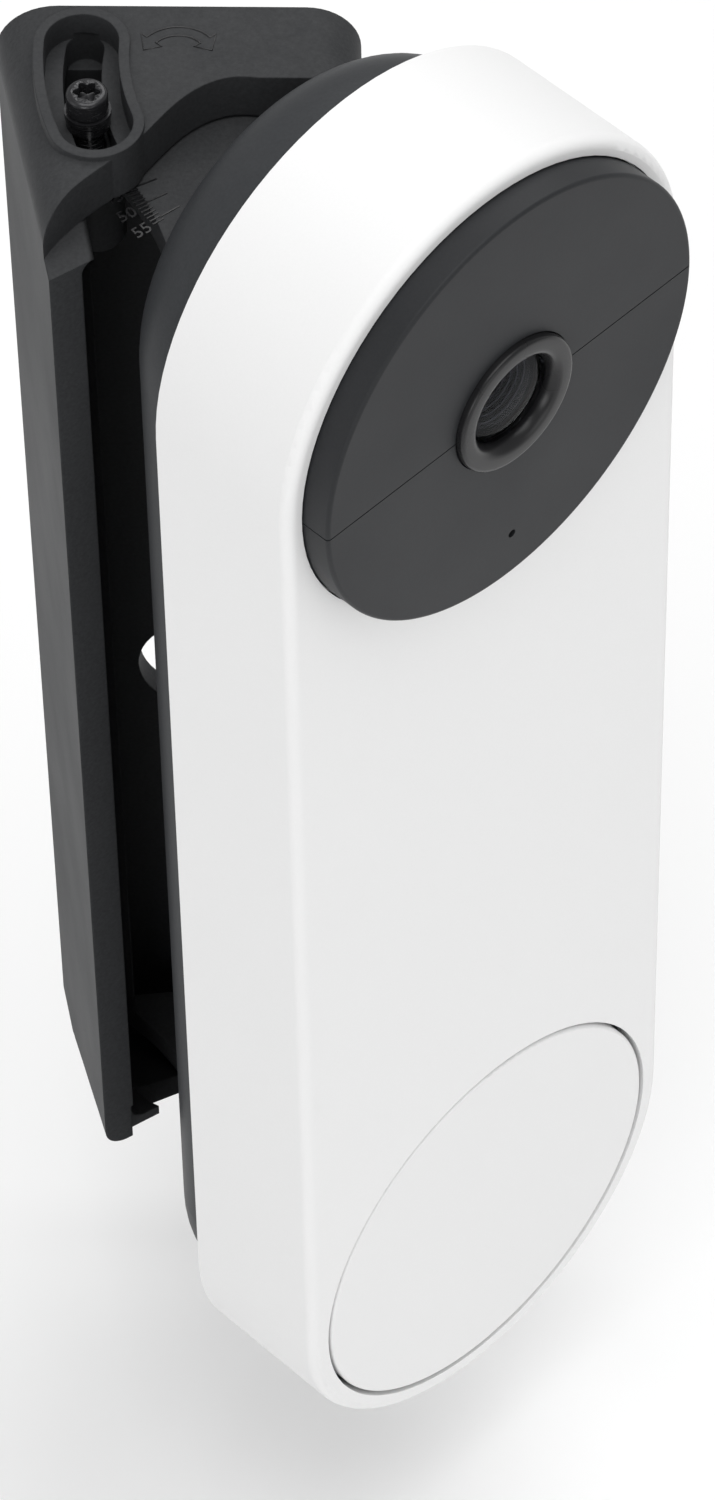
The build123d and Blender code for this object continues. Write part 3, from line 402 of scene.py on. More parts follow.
@dataclass(frozen=True)
class ClearGlass(Finish):
    """Coated lens glass."""

    haze: float = 0.02
    bending: float = 1.04
    coat: float = 0.15
    coat_roughness: float = 0.02

    def paint(self, g: Graph, shader: bpy.types.Node) -> None:
        """Clear glass with a faint unevenness in its coating."""
        place = g.add("ShaderNodeTexCoord").outputs["Object"]
        uneven = g.add("ShaderNodeTexNoise", Vector=place, Scale=600.0, Detail=2.0).outputs["Fac"]
        rough = g.span(uneven, 0.3, 0.7, self.roughness, self.roughness + self.haze)
        g.put(shader.inputs["Roughness"], rough)
        shader.inputs["Base Color"].default_value = rgba(self.colour)
        shader.inputs["Transmission Weight"].default_value = 1.0
        shader.inputs["IOR"].default_value = self.bending
        shader.inputs["Coat Weight"].default_value = self.coat
        shader.inputs["Coat Roughness"].default_value = self.coat_roughness


@dataclass(frozen=True)
class Board(Finish):
    """Circuit board with solder mask, tracks and pads."""

    track: tuple[float, float, float] = (0.05, 0.2, 0.11)
    solder: tuple[float, float, float] = (0.6, 0.6, 0.58)

    def paint(self, g: Graph, shader: bpy.types.Node) -> None:
        """Brick-like tracks and dots of solder on the mask."""
        place = g.add("ShaderNodeTexCoord").outputs["Object"]
        turned = g.add("ShaderNodeMapping", Vector=place, Rotation=(0.0, 0.0, 0.6)).outputs[0]
        tracks = g.add("ShaderNodeTexVoronoi", {"distance": "CHEBYCHEV"}, Vector=turned,
                       Scale=420.0).outputs["Distance"]
        pads = g.add("ShaderNodeTexVoronoi", Vector=place, Scale=300.0).outputs["Distance"]
        lines = g.span(tracks, 0.42, 0.5, 0.0, 1.0)
        solder = g.span(pads, 0.12, 0.1, 0.0, 1.0)
        mask = g.mix(lines, rgba(self.colour), rgba(self.track))
        g.put(shader.inputs["Base Color"], g.mix(solder, mask, rgba(self.solder)))
        g.put(shader.inputs["Metallic"], solder)
        g.put(shader.inputs["Roughness"], g.span(lines, 0.0, 1.0, self.roughness, self.roughness + 0.1))
        bump = g.add("ShaderNodeBump", Height=lines, Distance=0.02 * MM, Strength=1.0)
        g.put(shader.inputs["Normal"], bump.outputs[0])


@dataclass(frozen=True)
class Foam(Finish):
    """Closed-cell foam or rubber with open pores."""

    pore: float = 0.5 * MM

    def paint(self, g: Graph, shader: bpy.types.Node) -> None:
        """Pores as small pits, with their centres darkened towards black as painted shade."""
        place = g.add("ShaderNodeTexCoord").outputs["Object"]
        pores = g.add("ShaderNodeTexVoronoi", Vector=place, Scale=1.0 / self.pore).outputs["Distance"]
        # painted shade: the colour runs to near black at each pit's centre, where the bump is deepest
        g.put(shader.inputs["Base Color"], g.mix(g.span(pores, 0.0, 0.5, 0.0, 1.0), (0.01, 0.01, 0.01, 1.0),
                                                 rgba(self.colour)))
        g.put(shader.inputs["Normal"], g.add("ShaderNodeBump", Height=pores, Distance=0.1 * MM).outputs[0])
        g.put(shader.inputs["Roughness"], g.span(pores, 0.0, 0.6, 1.0, self.roughness))


@dataclass(frozen=True)
class Frosted(Finish):
    """Frosted light guide."""

    def paint(self, g: Graph, shader: bpy.types.Node) -> None:
        """Translucent plastic with a soft sparkle."""
        place = g.add("ShaderNodeTexCoord").outputs["Object"]
        frost = g.add("ShaderNodeTexNoise", Vector=place, Scale=2600.0, Detail=2.0).outputs["Fac"]
        tint = g.span(frost, 0.3, 0.7, 0.9, 1.05)
        shade = g.add("ShaderNodeCombineColor", Red=tint, Green=tint, Blue=tint).outputs[0]
        g.put(shader.inputs["Base Color"], g.mix(1.0, rgba(self.colour), shade, "MULTIPLY"))
        g.put(shader.inputs["Roughness"], g.span(frost, 0.3, 0.7, self.roughness, self.roughness + 0.1))
        g.put(shader.inputs["Normal"], g.add("ShaderNodeBump", Height=frost, Distance=0.01 * MM).outputs[0])


@dataclass(frozen=True)
class Palette:
    """Every finish of the object, by record slot."""

    finishes: dict[Slot, Finish] = field(default_factory=lambda: {
        Slot.WHITE: Moulded("white_shell", (0.80, 0.80, 0.80), 0.5, grain_size=0.22 * MM,
                            grain_depth=0.0016 * MM, mottling=0.006, speckle=0.008, specular=0.4),
        Slot.DARK: Moulded("dark_shell", (0.038, 0.04, 0.043), 0.44, grain_size=0.3 * MM,
                           grain_depth=0.006 * MM, mottling=0.04, speckle=0.08, dust=0.02, specular=0.1),
        Slot.MOUNT: Moulded("mount_plastic", (0.04, 0.0413, 0.0435), 0.5, grain_size=0.36 * MM,
                            grain_depth=0.012 * MM, mottling=0.05, speckle=0.12, dust=0.04,
                            specular=0.05, edge=0.25 * MM),
        Slot.COVER: Moulded("cover_plastic", (0.018, 0.019, 0.021), 0.5, grain_size=0.26 * MM,
                            grain_depth=0.004 * MM, mottling=0.03, speckle=0.08, specular=0.22),
        Slot.RING: Moulded("ring_plastic", (0.012, 0.012, 0.013), 0.28, grain_size=0.2 * MM,
                           grain_depth=0.001 * MM, speckle=0.05, specular=0.3),
        Slot.GLASS: ClearGlass("lens_glass", (0.6, 0.62, 0.66), 0.0),
        Slot.OPTICS: Moulded("optics_black", (0.006, 0.006, 0.007), 0.45, grain_size=0.2 * MM, specular=0.2),
        Slot.BUTTON: Moulded("button_plastic", (0.79, 0.79, 0.79), 0.46, grain_size=0.22 * MM,
                             grain_depth=0.0014 * MM, mottling=0.006, speckle=0.006, specular=0.4),
        Slot.DIFFUSER: Frosted("diffuser", (0.5, 0.51, 0.52), 0.4),
        Slot.BOARD: Board("board", (0.02, 0.11, 0.06), 0.35),
        Slot.TIN: Metal("tin", (0.62, 0.62, 0.6), 0.32, bare=(0.8, 0.8, 0.78)),
        Slot.COPPER: Metal("copper", (0.72, 0.38, 0.2), 0.3, bare=(0.9, 0.55, 0.35)),
        Slot.BRASS: Metal("brass", (0.72, 0.52, 0.22), 0.28, bare=(0.9, 0.75, 0.4)),
        Slot.STEEL: Metal("steel", (0.5, 0.51, 0.52), 0.3, bare=(0.7, 0.7, 0.72)),
        Slot.BLACK_STEEL: Metal("black_steel", (0.022, 0.022, 0.024), 0.22, bare=(0.14, 0.14, 0.145),
                                metallic=0.35, marks=0.35),
        Slot.CELL: Moulded("cell_wrap", (0.05, 0.09, 0.17), 0.3, grain_size=0.6 * MM, grain_depth=0.003 * MM),
        Slot.FOAM: Foam("foam", (0.05, 0.05, 0.055), 0.9),
        Slot.INNER: Moulded("inner_plastic", (0.04, 0.04, 0.043), 0.5, grain_size=0.4 * MM),
        Slot.RESIN: Moulded("emitter_resin", (0.05, 0.012, 0.03), 0.12, grain_size=0.5 * MM, coat=0.6),
    })


class Paintbox:
    """Builds each finish once and hands out its material."""

    def __init__(self, palette: Palette) -> None:
        """Builds every material of the palette."""
        self.materials = {slot: finish.build() for slot, finish in palette.finishes.items()}
        self.extra: dict[str, bpy.types.Material] = {}

    def of(self, slot: Slot) -> bpy.types.Material:
        """Returns a slot's material."""
        return self.materials[slot]

    def special(self, finish: Finish) -> bpy.types.Material:
        """Returns the material of a finish that is no slot of its own."""
        if finish.name not in self.extra:
            self.extra[finish.name] = finish.build()
        return self.extra[finish.name]

    def dress_cad(self) -> None:
        """Gives every CAD node its slot's material."""
        slots = {part["node"]: part["material_slot"] for part in frame["record"]["subparts"]}
        for name, node in frame["nodes"].items():
            node.data.materials.clear()
            node.data.materials.append(self.of(Slot(slots[name])))


# ---- meshes


Point = tuple[float, float]
WELD = 1e-7     # distance within which points become one, in metres


def place_piece(name: str, mesh: bpy.types.Mesh) -> bpy.types.Object:
    """Puts a mesh into the scene as a piece at the origin."""
    piece = bpy.data.objects.new(name, mesh)
    bpy.context.scene.collection.objects.link(piece)
    return piece


def evaluated_piece(name: str, source: bpy.types.Object, matrix: Matrix) -> bpy.types.Object:
    """Turns an evaluated curve, text or node tree into a plain mesh piece and removes its source.

    Args:
        name: Piece name.
        source: Object to evaluate, already in the scene.
        matrix: Matrix to the row frame.

    Returns:
        The plain mesh piece.
    """
    mesh = bpy.data.meshes.new_from_object(source.evaluated_get(bpy.context.evaluated_depsgraph_get()))
    bpy.data.objects.remove(source)
    mesh.transform(matrix)
    mesh.name = name
    return place_piece(name, mesh)


def mesh_object(name: str, verts: Sequence[Sequence[float]], faces: Sequence[Sequence[int]],
                matrix: Matrix | None = None, smooth: float = 40.0) -> bpy.types.Object:
    """Makes a mesh object at the origin.

    Args:
        name: Piece name.
        verts: Points in the piece's own frame, in metres.
        faces: Faces by point number.
        matrix: Matrix to the row frame.
        smooth: Largest angle between faces that are shaded smooth, in degrees.

    Returns:
        The new object.
    """
    mesh = bpy.data.meshes.new(name)
    mesh.from_pydata([tuple(v) for v in verts], [], [tuple(f) for f in faces])
    if matrix is not None:
        mesh.transform(matrix)
    shape = bmesh.new()
    shape.from_mesh(mesh)
    bmesh.ops.remove_doubles(shape, verts=shape.verts, dist=WELD)
    bmesh.ops.recalc_face_normals(shape, faces=shape.faces)
    shape.to_mesh(mesh)
    shape.free()
    mesh.shade_smooth()
    mesh.set_sharp_from_angle(angle=math.radians(smooth))
    return place_piece(name, mesh)


def finish_piece(piece: bpy.types.Object, material: bpy.types.Material, body: Body,
                 replaced: Sequence[str] = ()) -> None:
    """Gives a piece its material and body, and hides the CAD nodes it stands for."""
    if not piece.data.materials:
        piece.data.materials.append(material)
    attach(piece, body.value)
    if replaced:
        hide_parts(*replaced)
    triangles = sum(len(f.vertices) - 2 for f in piece.data.polygons)
    LOG.info("%s: %d triangles on %s", piece.name, triangles, body.value)


def lathe(name: str, profile: Sequence[Point], matrix: Matrix, steps: int = 96) -> bpy.types.Object:
    """Turns a closed profile of (radius, outward) about the axis that points out of the doorbell.

    Args:
        name: Piece name.
        profile: Radius and height out of the front face, in metres. An outline that doesn't both
            start and end on the axis is closed from its last point to its first.
        matrix: Matrix from (across, depth, up) to the row frame.
        steps: Number of segments round the axis.

    Returns:
        The turned piece.
    """
    verts, faces = [], []
    count = len(profile)
    for step in range(steps):
        angle = 2 * math.pi * step / steps
        verts += [(r * math.cos(angle), -out, r * math.sin(angle)) for r, out in profile]
    for step in range(steps):
        here, there = step * count, (step + 1) % steps * count
        for i in range(count - 1):
            faces.append((here + i, here + i + 1, there + i + 1, there + i))
    on_axis = profile[0][0] == 0.0 and profile[-1][0] == 0.0
    if not on_axis:
        for step in range(steps):
            here, there = step * count, (step + 1) % steps * count
            faces.append((here + count - 1, here, there, there + count - 1))
    return mesh_object(name, verts, faces, matrix)


def arc_points(centre: Point, radius: float, start: float, end: float, steps: int) -> list[Point]:
    """Points on an arc, angles in degrees."""
    angles = [math.radians(start + (end - start) * i / steps) for i in range(steps + 1)]
    return [(centre[0] + radius * math.cos(a), centre[1] + radius * math.sin(a)) for a in angles]


def round_corners(points: Sequence[Point], radius: float, steps: int = 4) -> list[Point]:
    """Rounds the inner corners of an open outline.

    Args:
        points: Corners of the outline.
        radius: Distance from each corner at which its rounding starts.
        steps: Segments in each rounding.

    Returns:
        The outline with a curve at each corner.
    """
    result = [points[0]]
    for before, corner, after in zip(points, points[1:], points[2:]):
        b, c, a = Vector(before), Vector(corner), Vector(after)
        reach = min(radius, (b - c).length * 0.45, (a - c).length * 0.45)
        start = c + (b - c).normalized() * reach
        end = c + (a - c).normalized() * reach
        for i in range(steps + 1):
            t = i / steps
            point = start * (1 - t) ** 2 + c * 2 * t * (1 - t) + end * t**2
            result.append((point.x, point.y))
    result.append(points[-1])
    return result


def tube(name: str, paths: Sequence[Sequence[Sequence[float]]], radius: float, matrix: Matrix,
         closed: Sequence[bool] | None = None) -> bpy.types.Object:
    """Sweeps a fine round bead along flat paths and returns it as a mesh.

    Args:
        name: Piece name.
        paths: Point lists in the piece's own frame.
        radius: Radius of the bead, in metres.
        matrix: Matrix to the row frame.
        closed: Whether each path is closed.

    Returns:
        The bead as one mesh piece.
    """
    curve = bpy.data.curves.new(name + "_line", "CURVE")
    curve.dimensions = "3D"
    curve.bevel_depth = radius
    curve.bevel_resolution = 2
    curve.use_fill_caps = True
    for number, path in enumerate(paths):
        spline = curve.splines.new("POLY")
        spline.points.add(len(path) - 1)
        for point, place in zip(spline.points, path):
            point.co = (*place, 1.0)
        spline.use_cyclic_u = bool(closed and closed[number])
    source = bpy.data.objects.new(name + "_source", curve)
    bpy.context.scene.collection.objects.link(source)
    piece = evaluated_piece(name, source, matrix)
    piece.data.shade_smooth()
    return piece


def text_mesh(name: str, words: str, size: float, depth: float, matrix: Matrix) -> bpy.types.Object:
    """Makes raised figures as a mesh piece, centred on the matrix's origin."""
    curve = bpy.data.curves.new(name + "_text", "FONT")
    curve.body = words
    curve.size = size
    curve.extrude = depth / 2
    curve.align_x = "CENTER"
    curve.align_y = "CENTER"
    curve.resolution_u = 3
    source = bpy.data.objects.new(name + "_source", curve)
    bpy.context.scene.collection.objects.link(source)
    return evaluated_piece(name, source, matrix)


def join(name: str, parts: Sequence[bpy.types.Object]) -> bpy.types.Object:
    """Joins mesh pieces into one piece and returns it."""
    shape = bmesh.new()
    for part in parts:
        shape.from_mesh(part.data)
    mesh = bpy.data.meshes.new(name)
    shape.to_mesh(mesh)
    shape.free()
    for part in parts:
        bpy.data.objects.remove(part)
    return place_piece(name, mesh)


# ---- geometry nodes


class Repeater:
    """A geometry tree that repeats a small shape by a rule, turned into a plain mesh piece."""

    def __init__(self, name: str, inputs: Sequence[tuple[str, str]]) -> None:
        """Makes the tree with its named inputs and geometry output."""
        self.tree = bpy.data.node_groups.new(name, "GeometryNodeTree")
        self.tree.interface.new_socket(name="Geometry", in_out="OUTPUT", socket_type="NodeSocketGeometry")
        for label, kind in inputs:
            self.tree.interface.new_socket(name=label, in_out="INPUT", socket_type=kind)
        self.graph = Graph(self.tree)
        self.given = self.graph.add("NodeGroupInput").outputs

    def close(self, geometry: bpy.types.NodeSocket) -> None:
        """Realizes the instances and sets their material."""
        real = self.graph.add("GeometryNodeRealizeInstances", Geometry=geometry).outputs[0]
        dressed = self.graph.add("GeometryNodeSetMaterial", Geometry=real, Material=self.given["Material"])
        self.graph.add("NodeGroupOutput", Geometry=dressed.outputs[0])

    def run(self, name: str, matrix: Matrix, **values: object) -> bpy.types.Object:
        """Runs the tree with these values.

        Args:
            name: Piece name.
            matrix: Matrix to the row frame.
            values: Input values by name, with _ for a space.

        Returns:
            The repeated shape as a plain mesh piece.
        """
        holder = bpy.data.objects.new(name + "_holder", bpy.data.meshes.new(name + "_holder"))
        bpy.context.scene.collection.objects.link(holder)
        modifier = holder.modifiers.new("repeat", "NODES")
        modifier.node_group = self.tree
        names = {item.name: item.identifier
                 for item in self.tree.interface.items_tree if item.in_out == "INPUT"}
        for key, value in values.items():
            modifier[names[key.replace("_", " ")]] = value
        return evaluated_piece(name, holder, matrix)


def tick_repeater() -> Repeater:
    """Bars spread round a centre at equal angles, each pointing at it."""
    rule = Repeater("dial_ticks", [
        ("Count", "NodeSocketInt"), ("Radius", FLOAT), ("Start", FLOAT), ("Step", FLOAT),
        ("Length", FLOAT), ("Width", FLOAT), ("Height", FLOAT), ("Material", "NodeSocketMaterial")])
    g, given = rule.graph, rule.given
    number = g.add("GeometryNodeInputIndex").outputs[0]
    angle = g.math("ADD", given["Start"], g.math("MULTIPLY", number, given["Step"]))
    place = g.add("ShaderNodeCombineXYZ", X=g.math("MULTIPLY", g.math("COSINE", angle), given["Radius"]),
                  Y=g.math("MULTIPLY", g.math("SINE", angle), given["Radius"])).outputs[0]
    points = g.add("GeometryNodePoints", Count=given["Count"], Position=place).outputs[0]
    size = g.add("ShaderNodeCombineXYZ", X=given["Length"], Y=given["Width"], Z=given["Height"]).outputs[0]
    bar = g.add("GeometryNodeMeshCube", Size=size).outputs[0]
    turn = g.add("ShaderNodeCombineXYZ", Z=angle).outputs[0]
    spread = g.add("GeometryNodeInstanceOnPoints", Points=points, Instance=bar, Rotation=turn).outputs[0]
    rule.close(spread)
    return rule


def ring_repeater() -> Repeater:
    """Rings stacked along an axis, each a little larger than the last."""
    rule = Repeater("stacked_rings", [
        ("Count", "NodeSocketInt"), ("Radius", FLOAT), ("Growth", FLOAT), ("Pitch", FLOAT), ("Bead", FLOAT),
        ("Material", "NodeSocketMaterial")])
    g, given = rule.graph, rule.given
    number = g.add("GeometryNodeInputIndex").outputs[0]
    place = g.add("ShaderNodeCombineXYZ", Z=g.math("MULTIPLY", number, given["Pitch"])).outputs[0]
    points = g.add("GeometryNodePoints", Count=given["Count"], Position=place).outputs[0]
    circle = g.add("GeometryNodeCurvePrimitiveCircle", Resolution=72, Radius=given["Radius"]).outputs[0]
    section = g.add("GeometryNodeCurvePrimitiveCircle", Resolution=8, Radius=given["Bead"]).outputs[0]
    ring = g.add("GeometryNodeCurveToMesh", Curve=circle, Profile_Curve=section).outputs[0]
    size = g.math("ADD", 1.0, g.math("MULTIPLY", number, given["Growth"]))
    scale = g.add("ShaderNodeCombineXYZ", X=size, Y=size, Z=1.0).outputs[0]
    spread = g.add("GeometryNodeInstanceOnPoints", Points=points, Instance=ring, Scale=scale).outputs[0]
    rule.close(spread)
    return rule


# ---- camera module


@dataclass
class CameraModule:
    """The round cover's lens: bezel, domed glass, stepped throat and iris."""

    bell: BellFrame
    paint: Paintbox
    cover_proud: float = 2.8 * MM
    bezel_radius: float = 6.5 * MM
    bezel_proud: float = 1.0 * MM
    opening: float = 4.35 * MM
    dome_rise: float = 0.95 * MM
    iris: float = 1.5 * MM
    first_ring: float = 0.48 * MM
    ring_growth: float = 0.36
    ring_pitch: float = 0.24 * MM
    ring_bead: float = 0.07 * MM
    dot_radius: float = 0.33 * MM
    dot_depth: float = 0.3 * MM
    dot_drop: float = 11.0 * MM

    def matrix(self) -> Matrix:
        """Frame on the lens axis."""
        return self.bell.matrix(self.bell.height_of("lens_ring"))

    def build(self) -> None:
        """Builds the lens from its bezel inwards."""
        self.bezel()
        self.glass()
        self.throat()
        self.status_dot()

    def bezel(self) -> None:
        """Rounded ring that frames the lens."""
        top = self.cover_proud + self.bezel_proud
        outer, inner = self.bezel_radius, self.opening
        line = round_corners([
            (5.0 * MM, -0.6 * MM), (outer, -0.6 * MM), (outer, top), (inner + 0.55 * MM, top),
            (inner, top - 0.8 * MM), (inner, 1.75 * MM), (5.0 * MM, 1.75 * MM), (5.0 * MM, -0.6 * MM),
        ], 0.4 * MM)
        piece = lathe("lens_bezel", line[:-1], self.matrix(), steps=128)
        finish_piece(piece, self.paint.of(Slot.RING), Body.BELL, ["lens_ring"])

    def glass(self) -> None:
        """Domed outer lens as a thin bowl of glass."""
        edge, back, thick = 2.6 * MM, 1.9 * MM, 0.6 * MM
        radius = self.opening - 0.05 * MM
        ball = (radius**2 + self.dome_rise**2) / (2 * self.dome_rise)
        sweep = math.degrees(math.asin(radius / ball))
        middle = (0.0, edge + self.dome_rise - ball)
        dome = arc_points(middle, ball, 90.0, 90.0 - sweep, 20)
        hollow = arc_points(middle, ball - thick, 90.0 - sweep * 0.94, 90.0, 20)
        line = [(0.0, dome[0][1])] + dome[1:] + [(radius, back)] + hollow[:-1] + [(0.0, hollow[-1][1])]
        piece = lathe("lens_dome", line, self.matrix(), steps=96)
        finish_piece(piece, self.paint.of(Slot.GLASS), Body.BELL, ["lens_glass"])

    def throat(self) -> None:
        """Stepped cone behind the glass, with its iris and inner element."""
        line = [(self.iris, -0.4 * MM), (4.9 * MM, -0.4 * MM), (4.9 * MM, 1.25 * MM), (4.2 * MM, 1.7 * MM),
                (3.7 * MM, 1.2 * MM), (2.1 * MM, 0.45 * MM), (self.iris + 0.1 * MM, 0.4 * MM)]
        cone = lathe("lens_throat", line, self.matrix())
        finish_piece(cone, self.paint.of(Slot.OPTICS), Body.BELL, ["lens_baffle"])
        shiny = self.paint.special(Moulded("inner_element", (0.004, 0.004, 0.006), 0.05, grain_size=1.0 * MM,
                                           grain_depth=0.0, coat=0.4))
        bead = arc_points((0.0, -1.3 * MM), 1.7 * MM, 90.0, 31.0, 12)
        outline = [(0.0, bead[0][1])] + bead[1:] + [(0.0, -0.45 * MM)]
        element = lathe("lens_inner_element", outline, self.matrix())
        finish_piece(element, shiny, Body.BELL)
        rings = ring_repeater()
        face_out = self.matrix() @ Matrix.Rotation(math.radians(90.0), 4, "X")
        satin = self.paint.special(Moulded("iris_ring", (0.05, 0.05, 0.055), 0.22, grain_size=0.5 * MM))
        lowest = face_out @ Matrix.Translation((0.0, 0.0, self.first_ring))
        steps = rings.run("lens_step_rings", lowest, Count=4, Radius=self.iris + 0.12 * MM,
                          Growth=self.ring_growth, Pitch=self.ring_pitch, Bead=self.ring_bead,
                          Material=satin)
        finish_piece(steps, satin, Body.BELL)

    def status_dot(self) -> None:
        """Tiny light pipe between the lens and the microphone hole."""
        line = [(0.0, 0.03 * MM), (0.28 * MM, 0.02 * MM), (self.dot_radius, 0.0),
                (self.dot_radius, -self.dot_depth), (0.0, -self.dot_depth)]
        shift = Matrix.Translation((0.0, -self.cover_proud, -self.dot_drop))
        piece = lathe("status_light", line, self.matrix() @ shift, steps=32)
        finish_piece(piece, self.paint.of(Slot.RING), Body.BELL)


# ---- front mark


@dataclass
class BellMark:
    """Faint pictogram of a bell in the middle of the front, as a fine raised bead."""

    bell: BellFrame
    paint: Paintbox
    size: float = 7.6 * MM
    bead: float = 0.1 * MM

    def outline(self) -> list[list[tuple[float, float, float]]]:
        """Dome, flared rim and clapper, in a frame of unit size."""
        side = [(0.0, 0.5), (0.1, 0.49), (0.22, 0.42), (0.29, 0.3), (0.31, 0.12), (0.34, -0.08),
                (0.42, -0.24), (0.46, -0.3)]
        dome = [(-x, z) for x, z in reversed(side)] + side[1:]
        clapper = arc_points((0.0, -0.36), 0.13, 200.0, 340.0, 10)
        return [[(x, 0.0, z) for x, z in dome + [(-0.46, -0.3)]], [(x, 0.0, z) for x, z in clapper]]

    def build(self) -> None:
        """Lays the bead half sunk in the front face."""
        paths = [[(x * self.size, 0.03 * MM, z * self.size) for x, _, z in path] for path in self.outline()]
        piece = tube("bell_mark", paths, self.bead, self.bell.matrix())
        # the bead's white is a little darker than the shell's as painted shade of a debossed groove
        tone = self.paint.special(Moulded("mark_white", (0.74, 0.74, 0.74), 0.25, grain_size=0.3 * MM,
                                          grain_depth=0.001 * MM, mottling=0.01, speckle=0.01))
        finish_piece(piece, tone, Body.BELL)


# ---- mount


@dataclass
class AngleMount:
    """Marks on the mount: the dial on the bracket and the swivel arrow on the lid."""

    paint: Paintbox
    first_label: int = 35
    last_label: int = 55
    label_step: int = 5
    label_radius: float = 25.0 * MM
    tick_radius: float = 23.35 * MM
    tick_length: float = 1.1 * MM
    long_radius: float = 21.95 * MM
    long_length: float = 2.0 * MM
    last_angle: float = 219.3
    relief: float = 0.05 * MM
    tick_width: float = 0.13 * MM
    line_shift: float = 0.8
    label_size: float = 1.7 * MM
    lid_top: float = 67.5 * MM

    def pivot(self) -> Vector:
        """Place of the hinge axis."""
        joint = next(j for j in frame["joints"] if j["name"] == "swivel")
        return Vector(joint["pos_m"])

    def build(self) -> None:
        """Builds the dial and the arrow."""
        # one near-black material: ink for the dial, and painted shade of an engraved groove for the arrow
        ink_and_groove_shade = self.paint.special(Moulded("mark_ink_and_groove_shade", (0.008, 0.008, 0.009), 0.35, grain_size=0.3 * MM))
        self.dial(ink_and_groove_shade)
        self.arrow(ink_and_groove_shade)

    def dial(self, ink_and_groove_shade: bpy.types.Material) -> None:
        """Ticks for each degree, longer lines for each five and their figures."""
        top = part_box("swivel_bracket")[1].z
        centre = self.pivot()
        level = Matrix.Translation((centre.x, centre.y, top + self.relief / 2))
        degrees = self.last_label - self.first_label
        start = self.last_angle - degrees
        rule = tick_repeater()
        high = self.relief * 1.6
        common = {"Width": self.tick_width, "Height": high, "Material": ink_and_groove_shade}
        ticks = rule.run("dial_ticks", level, Count=degrees + 1, Radius=self.tick_radius,
                         Start=math.radians(start), Step=math.radians(1.0), Length=self.tick_length, **common)
        finish_piece(ticks, ink_and_groove_shade, Body.BELL)
        longer = rule.run("dial_lines", level, Count=degrees // self.label_step + 1, Radius=self.long_radius,
                          Start=math.radians(start - self.line_shift), Step=math.radians(self.label_step),
                          Length=self.long_length, **common)
        finish_piece(longer, ink_and_groove_shade, Body.BELL)
        figures = []
        for value in range(self.first_label, self.last_label + 1, self.label_step):
            angle = math.radians(start + value - self.first_label)
            spot = Vector((math.cos(angle), math.sin(angle), 0.0)) * self.label_radius
            place = level @ Matrix.Translation(spot) @ Matrix.Rotation(angle - math.pi, 4, "Z")
            figures.append(text_mesh(f"figure_{value}", str(value), self.label_size, high, place))
        labels = join("dial_figures", figures)
        finish_piece(labels, ink_and_groove_shade, Body.BELL)

    def arrow(self, ink_and_groove_shade: bpy.types.Material) -> None:
        """Outlined double arrow on the lid that shows the swivel; its dark tone is painted shade of an engraved
        groove.
        """
        reach, half, head = 2.9 * MM, 0.5 * MM, 1.15 * MM
        outer = arc_points((0.0, -reach), reach + half, 140.0, 40.0, 14)
        inner = arc_points((0.0, -reach), reach - half, 40.0, 140.0, 14)
        right = arc_points((0.0, -reach), reach, 14.0, 14.0, 1)[0]
        left = arc_points((0.0, -reach), reach, 166.0, 166.0, 1)[0]
        wide = [arc_points((0.0, -reach), reach + way * head, side, side, 1)[0]
                for way, side in ((1, 40.0), (-1, 40.0), (-1, 140.0), (1, 140.0))]
        path = outer + [wide[0], right, wide[1]] + inner + [wide[2], left, wide[3]]
        place = Matrix.Translation((0.3 * MM, -2.9 * MM, self.lid_top))
        # painted shade: the dark bead stands for the shadowed groove of the engraved arrow
        piece = tube("swivel_arrow", [[(x, y, 0.0) for x, y in path]], 0.09 * MM, place, closed=[True])
        finish_piece(piece, ink_and_groove_shade, Body.BASE)


